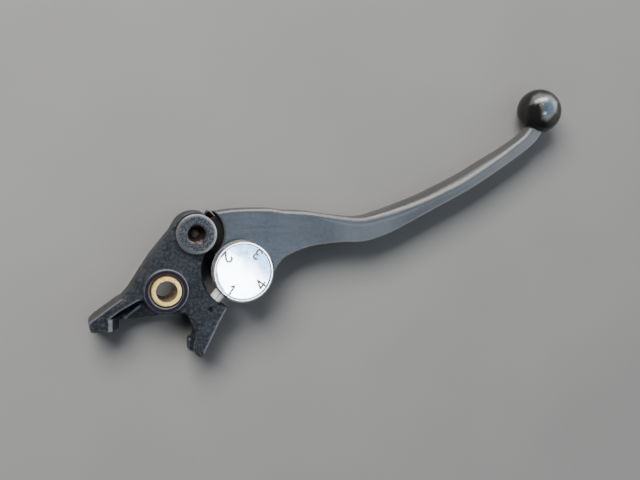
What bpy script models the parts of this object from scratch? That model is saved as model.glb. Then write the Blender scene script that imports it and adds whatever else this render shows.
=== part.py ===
"""Adjustable motorcycle hand lever: a knuckle bracket on a pivot bush, a blade linked to it, and a reach dial.

The lever lies flat. The origin is the middle of the pivot bush's lower end, +X runs towards the ball end,
+Y away from the handlebar and +Z up out of the dial. Sizes are millimetres here and metres in Blender.
"""

import math

import bmesh
import bpy
from mathutils import Vector

MM = 0.001

# Plan positions
PIVOT = Vector((0.0, 0.0))
LINK = Vector((11.6, 21.6))
DIAL = Vector((29.2, 6.9))
BALL = Vector((163.0, 71.6, 9.5))

# Pivot bush and the bracket around it
BUSH_LENGTH = 16.0
BUSH_OUTER_R = 5.75
BUSH_BORE_R = 4.0
BUSH_CHAMFER = 0.6
RUN_GAP = 0.2
FACE_GAP = 0.2
PLATE_LOW, PLATE_HIGH = 1.5, 14.5
BOSS_R = 8.5
BOSS_RISE = 1.0
SKIRT_R = 9.3
CHEEK_R = 8.8
CHEEK_INNER_R = 7.9
LOWER_CHEEK_R = 10.3
EDGE_ROUND = 0.6
WEB_HIGH = 6.5
HOLLOW_R = 15.2
SWITCH_PAD_Y = -14.8
PISTON_PAD = Vector((10.1, -22.2, 7.0))
PISTON_PAD_SIZE = Vector((2.6, 5.0, 7.0))
TIP_WEDGE = [(-20.8, 1.8), (-17.6, 1.8), (-17.6, 8.0), (-20.0, 13.2), (-20.8, 13.2)]  # x and z
TIP_WEDGE_FROM_Y, TIP_WEDGE_TO_Y = -14.6, -9.9

# Fork slot for the blade's tongue
SLOT_LOW, SLOT_HIGH = 4.6, 11.6
SLOT_R = 6.8
SLOT_REACH = 14.0
SLOT_FROM_DEG, SLOT_TO_DEG = -66.0, 72.0

# Link pin, its screw, bush and washers
PIN_HEAD_R = 7.75
PIN_HEAD_LOW, PIN_HEAD_HIGH = 14.7, 16.9
PIN_STEP_R = 4.9
PIN_SHANK_R = 3.4
PIN_FOOT = 3.1
PIN_MOUTH_R = 3.4
PIN_MOUTH_FLOOR = 12.3
PIN_THREAD_R = 2.2
SCREW_R = 1.9
SCREW_HEAD_R = 4.5
SCREW_HEAD_LOW, SCREW_HEAD_HIGH = 0.15, 1.95
SCREW_TOP = 11.8
COUNTERBORE_R = 5.4
COUNTERBORE_HIGH = 3.0
LINK_BUSH_R = 4.25
WASHER_THICK = 0.5
LOWER_WASHER_R = 5.1
UPPER_WASHER_R = 6.1
LOCK_WASHER_R = 4.3

# Blade: its root plate, tongue and finger
BLADE_LOW, BLADE_HIGH = 3.2, 14.3
ROOT_GAP_R = 11.0
TONGUE_LOW, TONGUE_HIGH = 7.5, 10.7
TONGUE_R = 6.4
HUB_R = 5.15
HUB_LOW = 5.5
LUG_R = 10.5
BLADE_ROUND = 1.5
# Finger stations: x, y, width, thickness and height of the middle, from the root plate to the ball
FINGER = [
    (49.0, 20.9, 18.6, 11.1, 8.75),
    (56.6, 22.4, 14.3, 11.1, 8.75),
    (69.4, 22.1, 11.1, 11.0, 8.8),
    (79.8, 21.85, 10.3, 10.8, 8.8),
    (89.6, 24.45, 9.75, 10.5, 8.9),
    (99.1, 28.25, 8.65, 10.1, 9.0),
    (108.3, 32.25, 7.65, 9.7, 9.1),
    (117.9, 36.75, 7.45, 9.3, 9.2),
    (127.6, 41.6, 7.25, 8.9, 9.3),
    (136.9, 47.0, 7.1, 8.5, 9.3),
    (146.4, 52.65, 6.5, 8.1, 9.4),
    (156.3, 59.5, 6.2, 7.8, 9.5),
    (161.5, 66.4, 6.4, 7.8, 9.5),
]
BALL_R = 9.5

# Reach adjuster
INDEX_DEG = 230.0
CAM_R = 6.5
CAM_FLATS = {INDEX_DEG: 6.3, 140.0: 5.75, 50.0: 5.2, 320.0: 4.65}
CAM_LOW, CAM_HIGH = 6.1, 11.9
POCKET_LOW, POCKET_HIGH = 5.8, 12.2
POCKET_R = 7.0
POCKET_FROM_DEG, POCKET_TO_DEG = 178.0, 272.0
SPINDLE_R = 2.5
SPIGOT_R = 2.0
SPIGOT_TOP = 16.6
GROOVE_R = 1.9
GROOVE_LOW, GROOVE_HIGH = 1.25, 2.0
SPINDLE_FOOT = 0.6
DIAL_R = 12.1
DIAL_LOW, DIAL_HIGH = 14.6, 18.8
STOP_R = 2.4
STOP_Z = 9.0
STOP_TIP = CAM_R + 0.25
STOP_TAIL = 21.0

# Return spring around the tongue's hub
SPRING_R = 5.85
WIRE_R = 0.4
SPRING_LOW, SPRING_HIGH = 5.25, 6.9
SPRING_FROM_DEG, SPRING_TO_DEG = 74.0, 700.0
SPRING_LEG_LOW, SPRING_LEG_HIGH = 3.5, 9.2
LEG_GAP = 0.3
REACH_DEG = 20.0

COLOURS = {
    "black_cast": ((0.030, 0.034, 0.044), 0.7, 0.45),
    "satin_alloy": ((0.120, 0.145, 0.170), 0.8, 0.38),
    "brass": ((0.62, 0.47, 0.22), 1.0, 0.30),
    "chrome": ((0.86, 0.88, 0.90), 1.0, 0.08),
    "grey_steel": ((0.20, 0.20, 0.21), 1.0, 0.42),
    "bright_steel": ((0.55, 0.56, 0.57), 1.0, 0.28),
    "bronze": ((0.42, 0.27, 0.12), 1.0, 0.40),
}


def clear_scene():
    for thing in list(bpy.data.objects):
        bpy.data.objects.remove(thing, do_unlink=True)


def collection(name):
    made = bpy.data.collections.new(name)
    bpy.context.scene.collection.children.link(made)
    return made


def material(name):
    colour, metallic, roughness = COLOURS[name]
    made = bpy.data.materials.new(name)
    made.use_nodes = True
    shader = made.node_tree.nodes["Principled BSDF"]
    shader.inputs["Base Color"].default_value = (*colour, 1.0)
    shader.inputs["Metallic"].default_value = metallic
    shader.inputs["Roughness"].default_value = roughness
    return made


def arc(centre, radius, start_deg, end_deg, count):
    """Points on an arc, both ends included."""
    points = []
    for i in range(count + 1):
        a = math.radians(start_deg + (end_deg - start_deg) * i / count)
        points.append((centre[0] + radius * math.cos(a), centre[1] + radius * math.sin(a)))
    return points


def place(thing, group, slot=None):
    group.objects.link(thing)
    if slot:
        thing.data.materials.append(slot)
    return thing


def as_object(name, bm, centre=(0.0, 0.0)):
    """A mesh object whose origin stands on the vertical axis through centre; bm holds row-frame millimetres."""
    bmesh.ops.translate(bm, verts=bm.verts, vec=(-centre[0], -centre[1], 0.0))
    bmesh.ops.scale(bm, verts=bm.verts, vec=(MM, MM, MM))
    bmesh.ops.recalc_face_normals(bm, faces=bm.faces)
    mesh = bpy.data.meshes.new(name)
    bm.to_mesh(mesh)
    bm.free()
    thing = bpy.data.objects.new(name, mesh)
    thing.location = (centre[0] * MM, centre[1] * MM, 0.0)
    return thing


def plate(name, outlines, low, high, centre=(0.0, 0.0)):
    """A flat outline, with any holes after it, as a filled 2D curve of the plate's thickness, made a mesh."""
    curve = bpy.data.curves.new(name, "CURVE")
    curve.dimensions = "2D"
    curve.fill_mode = "BOTH"
    curve.extrude = (high - low) / 2 * MM
    for outline in outlines:
        spline = curve.splines.new("POLY")
        spline.points.add(len(outline) - 1)
        for point, (x, y) in zip(spline.points, outline):
            point.co = ((x - centre[0]) * MM, (y - centre[1]) * MM, 0.0, 1.0)
        spline.use_cyclic_u = True
    drawn = bpy.data.objects.new(name, curve)
    bpy.context.scene.collection.objects.link(drawn)
    thing = meshed(drawn)
    for vertex in thing.data.vertices:
        vertex.co.z += (low + high) / 2 * MM
    thing.location = (centre[0] * MM, centre[1] * MM, 0.0)
    return thing


def meshed(drawn):
    """The closed mesh of a curve object, which it takes the place of."""
    name = drawn.name
    bpy.context.view_layer.update()
    seen = drawn.evaluated_get(bpy.context.evaluated_depsgraph_get())
    mesh = bpy.data.meshes.new_from_object(seen)
    bm = bmesh.new()
    bm.from_mesh(mesh)
    bmesh.ops.remove_doubles(bm, verts=bm.verts, dist=0.00001)
    bmesh.ops.recalc_face_normals(bm, faces=bm.faces)
    bm.to_mesh(mesh)
    bm.free()
    matrix = drawn.matrix_world.copy()
    bpy.data.objects.remove(drawn, do_unlink=True)
    mesh.name = name
    thing = bpy.data.objects.new(name, mesh)
    thing.matrix_world = matrix
    return thing


def turned(name, profile, centre, steps=32, ring=False):
    """A profile of (radius, height), down its outer side, spun round the vertical axis through centre."""
    mesh = bpy.data.meshes.new(name)
    points = [(radius * MM, 0.0, height * MM) for radius, height in profile]
    edges = [(i, i + 1) for i in range(len(points) - 1)]
    if ring:
        edges.append((len(points) - 1, 0))
    mesh.from_pydata(points, edges, [])
    thing = bpy.data.objects.new(name, mesh)
    thing.location = (centre[0] * MM, centre[1] * MM, 0.0)
    spin = thing.modifiers.new("spin", "SCREW")
    spin.axis = "Z"
    spin.steps = steps
    spin.render_steps = steps
    spin.use_merge_vertices = True
    spin.merge_threshold = 0.00002
    return thing


def washer(name, centre, inner, outer, low, high, steps=32):
    profile = [(outer, high), (outer, low), (inner, low), (inner, high)]
    return turned(name, profile, centre, steps, ring=True)


def cylinder(name, centre, radius, low, high, sides=32):
    bm = bmesh.new()
    bmesh.ops.create_cone(bm, cap_ends=True, segments=sides, radius1=radius, radius2=radius, depth=high - low)
    bmesh.ops.translate(bm, verts=bm.verts, vec=(centre[0], centre[1], (low + high) / 2))
    return as_object(name, bm, centre)


def radial_rod(name, radius, near, far, sides=24):
    """A rod lying on the line from the dial's axis out in the index direction, at the stop pin's height."""
    a = math.radians(INDEX_DEG)
    along = Vector((math.cos(a), math.sin(a), 0.0))
    bm = bmesh.new()
    bmesh.ops.create_cone(bm, cap_ends=True, segments=sides, radius1=radius, radius2=radius, depth=far - near)
    turn = Vector((0.0, 0.0, 1.0)).rotation_difference(along)
    bmesh.ops.rotate(bm, verts=bm.verts, matrix=turn.to_matrix())
    middle = Vector((DIAL[0], DIAL[1], STOP_Z)) + along * (near + far) / 2
    bmesh.ops.translate(bm, verts=bm.verts, vec=middle)
    return as_object(name, bm)


def boolean(target, tool, operation, tools):
    tools.objects.link(tool)
    tool.hide_render = True
    tool.display_type = "WIRE"
    step = target.modifiers.new(tool.name, "BOOLEAN")
    step.operation = operation
    step.solver = "EXACT"
    step.object = tool


def bracket_outline():
    """The bracket's plan, anticlockwise from the cheek's lower right round the pin, the arm and the finger."""
    points = arc(LINK, CHEEK_INNER_R, -62.0, 57.0, 14) + arc(LINK, CHEEK_R, 68.0, 150.0, 10)
    points += [(2.2, 23.2), (-5.5, 14.0), (-9.4, 8.2), (-13.3, 2.1), (-16.3, -1.8)]  # back edge of the arm
    points += [(-28.8, -10.6), (-28.1, SWITCH_PAD_Y), (-20.5, SWITCH_PAD_Y), (-20.9, -10.0)]
    points += [(-17.2, -7.3), (-10.5, -3.6)]  # rib above the recess
    points += arc(PIVOT, SKIRT_R, 202.0, 275.0, 9)
    points += [(6.6, -9.2), (8.1, -10.3), (10.0, -14.3), (11.1, -17.1)]  # armpit and the finger's inner side
    points += [(10.2, -20.6), (9.9, -23.3), (11.0, -25.6), (12.5, -26.7), (14.1, -26.2), (15.3, -24.5)]
    points += [(20.5, -14.2), (23.9, -8.0)]
    points += arc(DIAL, HOLLOW_R, 246.0, 153.0, 16)
    return points


def tip_wedge():
    """The sloped inner side of the arm's squared end."""
    bm = bmesh.new()
    near = [bm.verts.new((x, TIP_WEDGE_FROM_Y, z)) for x, z in TIP_WEDGE]
    far = [bm.verts.new((x, TIP_WEDGE_TO_Y, z)) for x, z in TIP_WEDGE]
    bm.faces.new(near)
    bm.faces.new(far)
    for i, corner in enumerate(near):
        bm.faces.new((corner, near[i - 1], far[i - 1], far[i]))
    return as_object("tip_wedge", bm)


def make_bracket(parts, tools, slot):
    bracket = plate("lever_bracket", [bracket_outline()], PLATE_LOW, PLATE_HIGH)
    edges = bracket.modifiers.new("edges", "BEVEL")
    edges.width = EDGE_ROUND * MM
    edges.segments = 1
    edges.limit_method = "ANGLE"
    edges.angle_limit = math.radians(60)
    web = [(-20.9, -10.4), (-17.6, -11.6), (-7.4, -11.0), (-2.4, -10.7), (2.0, -8.0), (-4.0, -2.0), (-14.0, -4.0)]
    boolean(bracket, plate("web", [web], PLATE_LOW + 0.3, WEB_HIGH), "UNION", tools)
    boolean(bracket, tip_wedge(), "UNION", tools)
    cheek = arc(LINK, LOWER_CHEEK_R, -58.0, 66.0, 14) + [tuple(LINK)]
    boolean(bracket, plate("lower_cheek", [cheek], PLATE_LOW, SLOT_LOW), "UNION", tools)
    low, high = PLATE_LOW - BOSS_RISE, PLATE_HIGH + BOSS_RISE
    boolean(bracket, cylinder("boss", PIVOT, BOSS_R, low, high, 40), "UNION", tools)
    pad = bmesh.new()
    bmesh.ops.create_cube(pad, size=1.0)
    bmesh.ops.scale(pad, verts=pad.verts, vec=PISTON_PAD_SIZE)
    bmesh.ops.translate(pad, verts=pad.verts, vec=PISTON_PAD)
    boolean(bracket, as_object("piston_pad", pad), "UNION", tools)
    fork = arc(LINK, SLOT_R, SLOT_TO_DEG, SLOT_FROM_DEG + 360.0, 26)
    fork += arc(LINK, SLOT_REACH, SLOT_FROM_DEG, SLOT_TO_DEG, 12)
    boolean(bracket, plate("fork_slot", [fork], SLOT_LOW, SLOT_HIGH), "DIFFERENCE", tools)
    bore = cylinder("pivot_hole", PIVOT, BUSH_OUTER_R + RUN_GAP, -1.0, BUSH_LENGTH + 1.0, 40)
    boolean(bracket, bore, "DIFFERENCE", tools)
    upper = cylinder("upper_pin_hole", LINK, PIN_STEP_R + RUN_GAP, SLOT_HIGH - 1.0, PIN_HEAD_LOW + 1.0)
    boolean(bracket, upper, "DIFFERENCE", tools)
    lower = cylinder("lower_pin_hole", LINK, PIN_SHANK_R + RUN_GAP, 2.0, SLOT_LOW + 1.0)
    boolean(bracket, lower, "DIFFERENCE", tools)
    sink = cylinder("screw_counterbore", LINK, COUNTERBORE_R, -1.0, COUNTERBORE_HIGH)
    boolean(bracket, sink, "DIFFERENCE", tools)
    socket = radial_rod("stop_pin_hole", STOP_R + RUN_GAP, HOLLOW_R - 1.5, STOP_TAIL + FACE_GAP)
    boolean(bracket, socket, "DIFFERENCE", tools)
    a = math.radians(SPRING_FROM_DEG)
    foot = LINK + SPRING_R * Vector((math.cos(a), math.sin(a)))
    leg_hole = cylinder("spring_leg_hole", foot, WIRE_R + LEG_GAP, SPRING_LEG_LOW - LEG_GAP, SLOT_LOW + 0.5, 12)
    boolean(bracket, leg_hole, "DIFFERENCE", tools)
    place(bracket, parts, slot)


def edge_points(side):
    """The blade's upper (+1) or lower (-1) edge, half a width off the middle line at each station."""
    points = []
    for i, (x, y, width, _, _) in enumerate(FINGER):
        before = FINGER[max(i - 1, 0)]
        after = FINGER[min(i + 1, len(FINGER) - 1)]
        along = Vector((after[0] - before[0], after[1] - before[1])).normalized()
        points.append((x - side * along.y * width / 2, y + side * along.x * width / 2))
    return points


def smooth(points, between=3):
    """A Catmull-Rom curve through the points."""
    dense = []
    for i in range(len(points) - 1):
        p = [Vector(points[max(0, min(len(points) - 1, i + k))]) for k in (-1, 0, 1, 2)]
        for j in range(between):
            t = j / between
            line = p[1] * 2 + (p[2] - p[0]) * t
            line += (p[0] * 2 - p[1] * 5 + p[2] * 4 - p[3]) * t * t
            line += (p[1] * 3 - p[0] - p[2] * 3 + p[3]) * t**3
            dense.append(tuple(line / 2))
    dense.append(tuple(points[-1]))
    return dense


def blade_outline():
    points = arc(LINK, ROOT_GAP_R, 48.0, -50.0, 12)
    points += arc(DIAL, LUG_R, 150.0, 315.0, 18)
    lower = edge_points(-1)
    upper = edge_points(1)
    points += smooth([(43.0, 6.6)] + lower)
    points += smooth(list(reversed(upper)) + [(41.1, 30.9), (33.1, 31.0), (25.9, 30.7), (20.5, 30.0)])
    return points


def finger_height(x):
    """Thickness and middle height of the blade at a place along X."""
    stations = FINGER
    if x <= stations[0][0]:
        return stations[0][3], stations[0][4]
    for a, b in zip(stations, stations[1:]):
        if x <= b[0]:
            t = (x - a[0]) / (b[0] - a[0])
            return a[3] + (b[3] - a[3]) * t, a[4] + (b[4] - a[4]) * t
    return stations[-1][3], stations[-1][4]


def make_blade(parts, tools, slot):
    outline = plate("blade", [blade_outline()], BLADE_LOW, BLADE_HIGH)
    bm = bmesh.new()
    bm.from_mesh(outline.data)
    flat = [e for e in bm.edges if abs(e.verts[0].co.z - e.verts[1].co.z) < 0.1 * MM]
    rims = [e for e in flat if len(e.link_faces) == 2 and abs(e.calc_face_angle(0.0)) > 1.0]
    bmesh.ops.bevel(bm, geom=rims, offset=BLADE_ROUND * MM, segments=2, profile=0.5, affect="EDGES")
    plain, middle = BLADE_HIGH - BLADE_LOW, (BLADE_HIGH + BLADE_LOW) / 2
    for vertex in bm.verts:
        thick, height = finger_height(vertex.co.x / MM)
        vertex.co.z = (height + (vertex.co.z / MM - middle) * thick / plain) * MM
    bm.to_mesh(outline.data)
    bm.free()
    blade = outline
    blade.data.transform(blade.matrix_world.inverted())
    ball = bmesh.new()
    bmesh.ops.create_uvsphere(ball, u_segments=28, v_segments=16, radius=BALL_R)
    bmesh.ops.translate(ball, verts=ball.verts, vec=BALL)
    boolean(blade, as_object("ball_end", ball), "UNION", tools)
    tongue = arc(LINK, TONGUE_R, 45.0, 298.0, 24) + [(20.5, 13.0), (24.0, 16.0), (24.0, 27.0), (20.5, 28.4)]
    boolean(blade, plate("tongue", [tongue], TONGUE_LOW, TONGUE_HIGH), "UNION", tools)
    boolean(blade, cylinder("hub", LINK, HUB_R, HUB_LOW, TONGUE_LOW + 0.5), "UNION", tools)
    bush_hole = cylinder("link_hole", LINK, LINK_BUSH_R + RUN_GAP, HUB_LOW - 1.0, TONGUE_HIGH + 1.0)
    boolean(blade, bush_hole, "DIFFERENCE", tools)
    pocket = arc(DIAL, POCKET_R, POCKET_TO_DEG - 360.0, POCKET_FROM_DEG, 24)
    pocket += arc(DIAL, SLOT_REACH, POCKET_FROM_DEG, POCKET_TO_DEG, 8)
    boolean(blade, plate("cam_pocket", [pocket], POCKET_LOW, POCKET_HIGH), "DIFFERENCE", tools)
    bore = cylinder("spindle_hole", DIAL, SPINDLE_R + RUN_GAP, BLADE_LOW - 1.0, BLADE_HIGH + 1.0)
    boolean(blade, bore, "DIFFERENCE", tools)
    inner, outer = SPRING_R - WIRE_R - LEG_GAP, SPRING_R + WIRE_R + LEG_GAP
    start = SPRING_TO_DEG % 360.0 + 6.0
    notch = arc(LINK, outer, start, start - REACH_DEG - 12.0, 6) + arc(LINK, inner, start - REACH_DEG - 12.0, start, 6)
    boolean(blade, plate("leg_notch", [notch], TONGUE_LOW - 0.5, SPRING_LEG_HIGH + LEG_GAP), "DIFFERENCE", tools)
    place(blade, parts, slot)


def make_link(parts, tools, slots):
    head = [(PIN_MOUTH_R + 0.35, PIN_HEAD_HIGH), (PIN_HEAD_R - 0.5, PIN_HEAD_HIGH), (PIN_HEAD_R, PIN_HEAD_HIGH - 0.5)]
    body = [(PIN_HEAD_R, PIN_HEAD_LOW), (PIN_STEP_R, PIN_HEAD_LOW), (PIN_STEP_R, SLOT_HIGH + 0.1)]
    foot = [(PIN_SHANK_R, SLOT_HIGH + 0.1), (PIN_SHANK_R, PIN_FOOT), (PIN_THREAD_R, PIN_FOOT)]
    mouth = [(PIN_THREAD_R, PIN_MOUTH_FLOOR), (PIN_MOUTH_R, PIN_MOUTH_FLOOR), (PIN_MOUTH_R, PIN_HEAD_HIGH - 0.35)]
    place(turned("link_pin", head + body + foot + mouth, LINK, 36, ring=True), parts, slots["grey_steel"])
    screw = [(0.0, SCREW_TOP), (SCREW_R, SCREW_TOP), (SCREW_R, SCREW_HEAD_HIGH), (SCREW_HEAD_R, SCREW_HEAD_HIGH)]
    screw += [(SCREW_HEAD_R, SCREW_HEAD_LOW + 0.3), (SCREW_HEAD_R - 0.3, SCREW_HEAD_LOW), (0.0, SCREW_HEAD_LOW)]
    made = turned("link_pin_screw", screw, LINK, 24)
    hexagon = cylinder("screw_socket", LINK, 2.0, SCREW_HEAD_LOW - 1.0, SCREW_HEAD_HIGH - 0.4, 6)
    boolean(made, hexagon, "DIFFERENCE", tools)
    place(made, parts, slots["grey_steel"])
    lock_low = SCREW_HEAD_HIGH + FACE_GAP
    lock = washer("screw_lock_washer", LINK, SCREW_R + 0.3, LOCK_WASHER_R, lock_low, COUNTERBORE_HIGH - FACE_GAP, 24)
    place(lock, parts, slots["bright_steel"])
    inner = PIN_SHANK_R + RUN_GAP
    place(washer("link_bush", LINK, inner, LINK_BUSH_R, HUB_LOW - 0.05, TONGUE_HIGH + 0.05), parts, slots["bronze"])
    low = SLOT_LOW + 0.15
    lower = washer("lower_thrust_washer", LINK, inner, LOWER_WASHER_R, low, low + WASHER_THICK)
    place(lower, parts, slots["bright_steel"])
    high = SLOT_HIGH - 0.15
    upper = washer("upper_thrust_washer", LINK, inner, UPPER_WASHER_R, high - WASHER_THICK, high)
    place(upper, parts, slots["bright_steel"])


def make_spring(parts, slot):
    """A coil round the tongue's hub with both ends bent up and down, one into the bracket, one into the blade."""
    curve = bpy.data.curves.new("return_spring", "CURVE")
    curve.dimensions = "3D"
    curve.bevel_depth = WIRE_R * MM
    curve.bevel_resolution = 2
    curve.use_fill_caps = True
    count = 24
    route = []
    for i in range(count + 1):
        t = i / count
        a = math.radians(SPRING_FROM_DEG + (SPRING_TO_DEG - SPRING_FROM_DEG) * t)
        height = SPRING_LOW + (SPRING_HIGH - SPRING_LOW) * t
        route.append((SPRING_R * math.cos(a), SPRING_R * math.sin(a), height))
    route.insert(0, (*route[0][:2], SPRING_LEG_LOW))
    route.append((*route[-1][:2], SPRING_LEG_HIGH))
    spline = curve.splines.new("POLY")
    spline.points.add(len(route) - 1)
    for point, (x, y, z) in zip(spline.points, route):
        point.co = (x * MM, y * MM, z * MM, 1.0)
    spring = bpy.data.objects.new("return_spring", curve)
    spring.location = (LINK[0] * MM, LINK[1] * MM, 0.0)
    place(spring, parts, slot)


def cam_outline(bore_sides=24):
    """A round cam with one flat for each dial number, and its bore."""
    rim = []
    for i in range(72):
        degrees = i * 5.0
        radius = CAM_R
        for facing, distance in CAM_FLATS.items():
            off = math.radians(degrees - facing)
            if math.cos(off) > 0.5:
                radius = min(radius, distance / math.cos(off))
        a = math.radians(degrees)
        rim.append((DIAL[0] + radius * math.cos(a), DIAL[1] + radius * math.sin(a)))
    bore = arc(DIAL, SPINDLE_R + RUN_GAP, 360.0, 0.0, bore_sides)[:-1]
    return [rim, bore]


def make_adjuster(parts, slots):
    place(plate("adjuster_cam", cam_outline(), CAM_LOW, CAM_HIGH, DIAL), parts, slots["bright_steel"])
    spindle = [(0.0, SPIGOT_TOP), (SPIGOT_R, SPIGOT_TOP), (SPIGOT_R, BLADE_HIGH + 0.1), (SPINDLE_R, BLADE_HIGH + 0.1)]
    spindle += [(SPINDLE_R, GROOVE_HIGH), (GROOVE_R, GROOVE_HIGH), (GROOVE_R, GROOVE_LOW), (SPINDLE_R, GROOVE_LOW)]
    spindle += [(SPINDLE_R, SPINDLE_FOOT), (0.0, SPINDLE_FOOT)]
    place(turned("cam_spindle", spindle, DIAL, 24), parts, slots["bright_steel"])
    hub_r, skirt_r, ceiling = 3.4, 10.8, 16.3
    face = [(0.0, DIAL_HIGH - 0.35), (9.9, DIAL_HIGH - 0.35), (10.3, DIAL_HIGH), (11.4, DIAL_HIGH)]
    side = [(DIAL_R, DIAL_HIGH - 0.7), (DIAL_R, DIAL_LOW + 0.3), (DIAL_R - 0.3, DIAL_LOW), (skirt_r, DIAL_LOW)]
    under = [(skirt_r, ceiling), (hub_r, ceiling), (hub_r, DIAL_LOW), (SPIGOT_R + RUN_GAP, DIAL_LOW)]
    bore = [(SPIGOT_R + RUN_GAP, SPIGOT_TOP + 0.3), (0.0, SPIGOT_TOP + 0.3)]
    place(turned("adjuster_dial", face + side + under + bore, DIAL, 48), parts, slots["chrome"])
    wave = bmesh.new()
    bmesh.ops.create_circle(wave, cap_ends=False, radius=7.5, segments=36)
    inner = bmesh.ops.extrude_edge_only(wave, edges=wave.edges[:])
    for vertex in [v for v in inner["geom"] if isinstance(v, bmesh.types.BMVert)]:
        vertex.co *= 3.9 / 7.5
    for vertex in wave.verts:
        vertex.co.z = 15.3 + 0.4 * math.sin(3 * math.atan2(vertex.co.y, vertex.co.x))
        vertex.co.x += DIAL[0]
        vertex.co.y += DIAL[1]
    ripple = as_object("wave_washer", wave, DIAL)
    body = ripple.modifiers.new("body", "SOLIDIFY")
    body.thickness = 0.4 * MM
    body.offset = 0.0
    place(ripple, parts, slots["bright_steel"])
    flat = washer("spindle_washer", DIAL, SPINDLE_R + RUN_GAP, 5.6, GROOVE_HIGH + 0.3, BLADE_LOW - FACE_GAP)
    place(flat, parts, slots["bright_steel"])
    opening = 40.0
    clip = arc(DIAL, 4.4, opening, 360.0 - opening, 24) + arc(DIAL, GROOVE_R + FACE_GAP, 360.0 - opening, opening, 18)
    clip_low, clip_high = GROOVE_LOW + 0.1, GROOVE_HIGH - 0.1
    place(plate("spindle_clip", [clip], clip_low, clip_high, DIAL), parts, slots["bright_steel"])


def make_bush(parts, slot):
    rim = 0.4
    outer = [(BUSH_OUTER_R - rim, BUSH_LENGTH), (BUSH_OUTER_R, BUSH_LENGTH - rim), (BUSH_OUTER_R, rim)]
    lower = [(BUSH_OUTER_R - rim, 0.0), (BUSH_BORE_R + BUSH_CHAMFER, 0.0), (BUSH_BORE_R, BUSH_CHAMFER)]
    upper = [(BUSH_BORE_R, BUSH_LENGTH - BUSH_CHAMFER), (BUSH_BORE_R + BUSH_CHAMFER, BUSH_LENGTH)]
    place(turned("pivot_bush", outer + lower + upper, PIVOT, 40, ring=True), parts, slot)


def main():
    clear_scene()
    parts = collection("hand_lever")
    tools = collection("cutters")
    slots = {name: material(name) for name in COLOURS}
    make_bush(parts, slots["brass"])
    make_bracket(parts, tools, slots["black_cast"])
    place(radial_rod("stop_pin", STOP_R, STOP_TIP, STOP_TAIL), parts, slots["bright_steel"])
    make_link(parts, tools, slots)
    make_spring(parts, slots["bright_steel"])
    make_blade(parts, tools, slots["satin_alloy"])
    make_adjuster(parts, slots)


main()
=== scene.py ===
"""A motorcycle hand lever: bracket, blade, reach dial and their hardware. Lengths are in millimetres."""

import itertools
import math

import bpy
import numpy as np
from mathutils import Matrix, Vector


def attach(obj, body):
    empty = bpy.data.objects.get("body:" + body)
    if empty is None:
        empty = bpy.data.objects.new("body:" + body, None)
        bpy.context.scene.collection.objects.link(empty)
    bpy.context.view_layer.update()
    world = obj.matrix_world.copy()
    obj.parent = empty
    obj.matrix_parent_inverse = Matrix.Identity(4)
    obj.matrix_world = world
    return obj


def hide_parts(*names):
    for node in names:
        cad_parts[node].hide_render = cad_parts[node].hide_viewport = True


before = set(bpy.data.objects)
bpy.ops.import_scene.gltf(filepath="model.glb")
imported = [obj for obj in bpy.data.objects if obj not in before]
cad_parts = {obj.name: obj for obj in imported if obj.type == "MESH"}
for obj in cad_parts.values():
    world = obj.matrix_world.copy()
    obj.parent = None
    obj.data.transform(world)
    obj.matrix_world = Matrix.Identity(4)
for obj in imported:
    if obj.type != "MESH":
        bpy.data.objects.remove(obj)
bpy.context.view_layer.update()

MM = 0.001

# ---- the frame's own places and sizes
PIVOT = (0.0, 0.0)
LINK = (11.6, 21.6)
DIAL = (29.2, 6.9)
BALL = (163.0, 71.6, 9.5)
BALL_R = 9.5

PLATE_LOW, PLATE_HIGH = 1.5, 14.5
PARTING_Z, DRAFT, SEAM = 8.0, 0.035, 0.12
BOSS_R, BOSS_LOW, BOSS_HIGH = 8.5, 0.5, 15.5
SKIRT_R = 9.3
SHOULDER_WIDE, SHOULDER_DROP = 2.5, 2.6
LOWER_CHEEK_R, CHEEK_R, CHEEK_INNER_R = 10.75, 8.8, 7.9
WEB_LOW, WEB_HIGH = 1.8, 6.5
HOLLOW_R = 15.2
PAD_Y = -14.8
PISTON_PAD, PISTON_PAD_SIZE = (10.1, -22.2, 7.0), (2.6, 5.0, 7.0)
SLOT_LOW, SLOT_HIGH, SLOT_R, SLOT_REACH = 4.6, 11.6, 6.8, 14.0
SLOT_FROM, SLOT_TO = -66.0, 72.0
INDEX_MARK_OUT = HOLLOW_R + 3.6
ROOM = 0.2  # the clearance round whatever turns or slides in a bore

BUSH_LENGTH, BUSH_OUTER_R, BUSH_BORE_R = 16.0, 5.75, 4.0
PIN_HEAD_R, PIN_HEAD_LOW, PIN_HEAD_HIGH = 7.75, 14.7, 16.9
PIN_STEP_R, PIN_SHANK_R, PIN_FOOT, PIN_THREAD_R = 4.9, 3.4, 3.1, 2.2
PIN_MOUTH_R, PIN_MOUTH_FLOOR = 3.4, 12.3

BLADE_HIGH = 14.3
ROOT_GAP_R, LUG_R = 11.0, 10.5
TONGUE_LOW, TONGUE_HIGH, TONGUE_R = 7.5, 10.7, 6.4
HUB_R, HUB_LOW = 5.15, 5.5
LINK_BUSH_R = 4.25

INDEX_DEG = 230.0
CAM_R, CAM_LOW, CAM_HIGH = 6.5, 6.1, 11.9
CAM_FLATS = {INDEX_DEG: 6.3, 140.0: 5.75, 50.0: 5.2, 320.0: 4.65}
POCKET_LOW, POCKET_HIGH, POCKET_R = 5.8, 12.2, 7.0
SPINDLE_R, SPIGOT_R, SPIGOT_TOP = 2.5, 2.0, 16.6
DIAL_R, DIAL_LOW, DIAL_HIGH = 12.1, 14.6, 18.8
STOP_R, STOP_Z, STOP_TIP, STOP_TAIL = 2.4, 9.0, 6.75, 21.0
SPRING_R, WIRE_R, SPRING_START, SPRING_END = 5.85, 0.4, 74.0, 700.0

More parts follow.
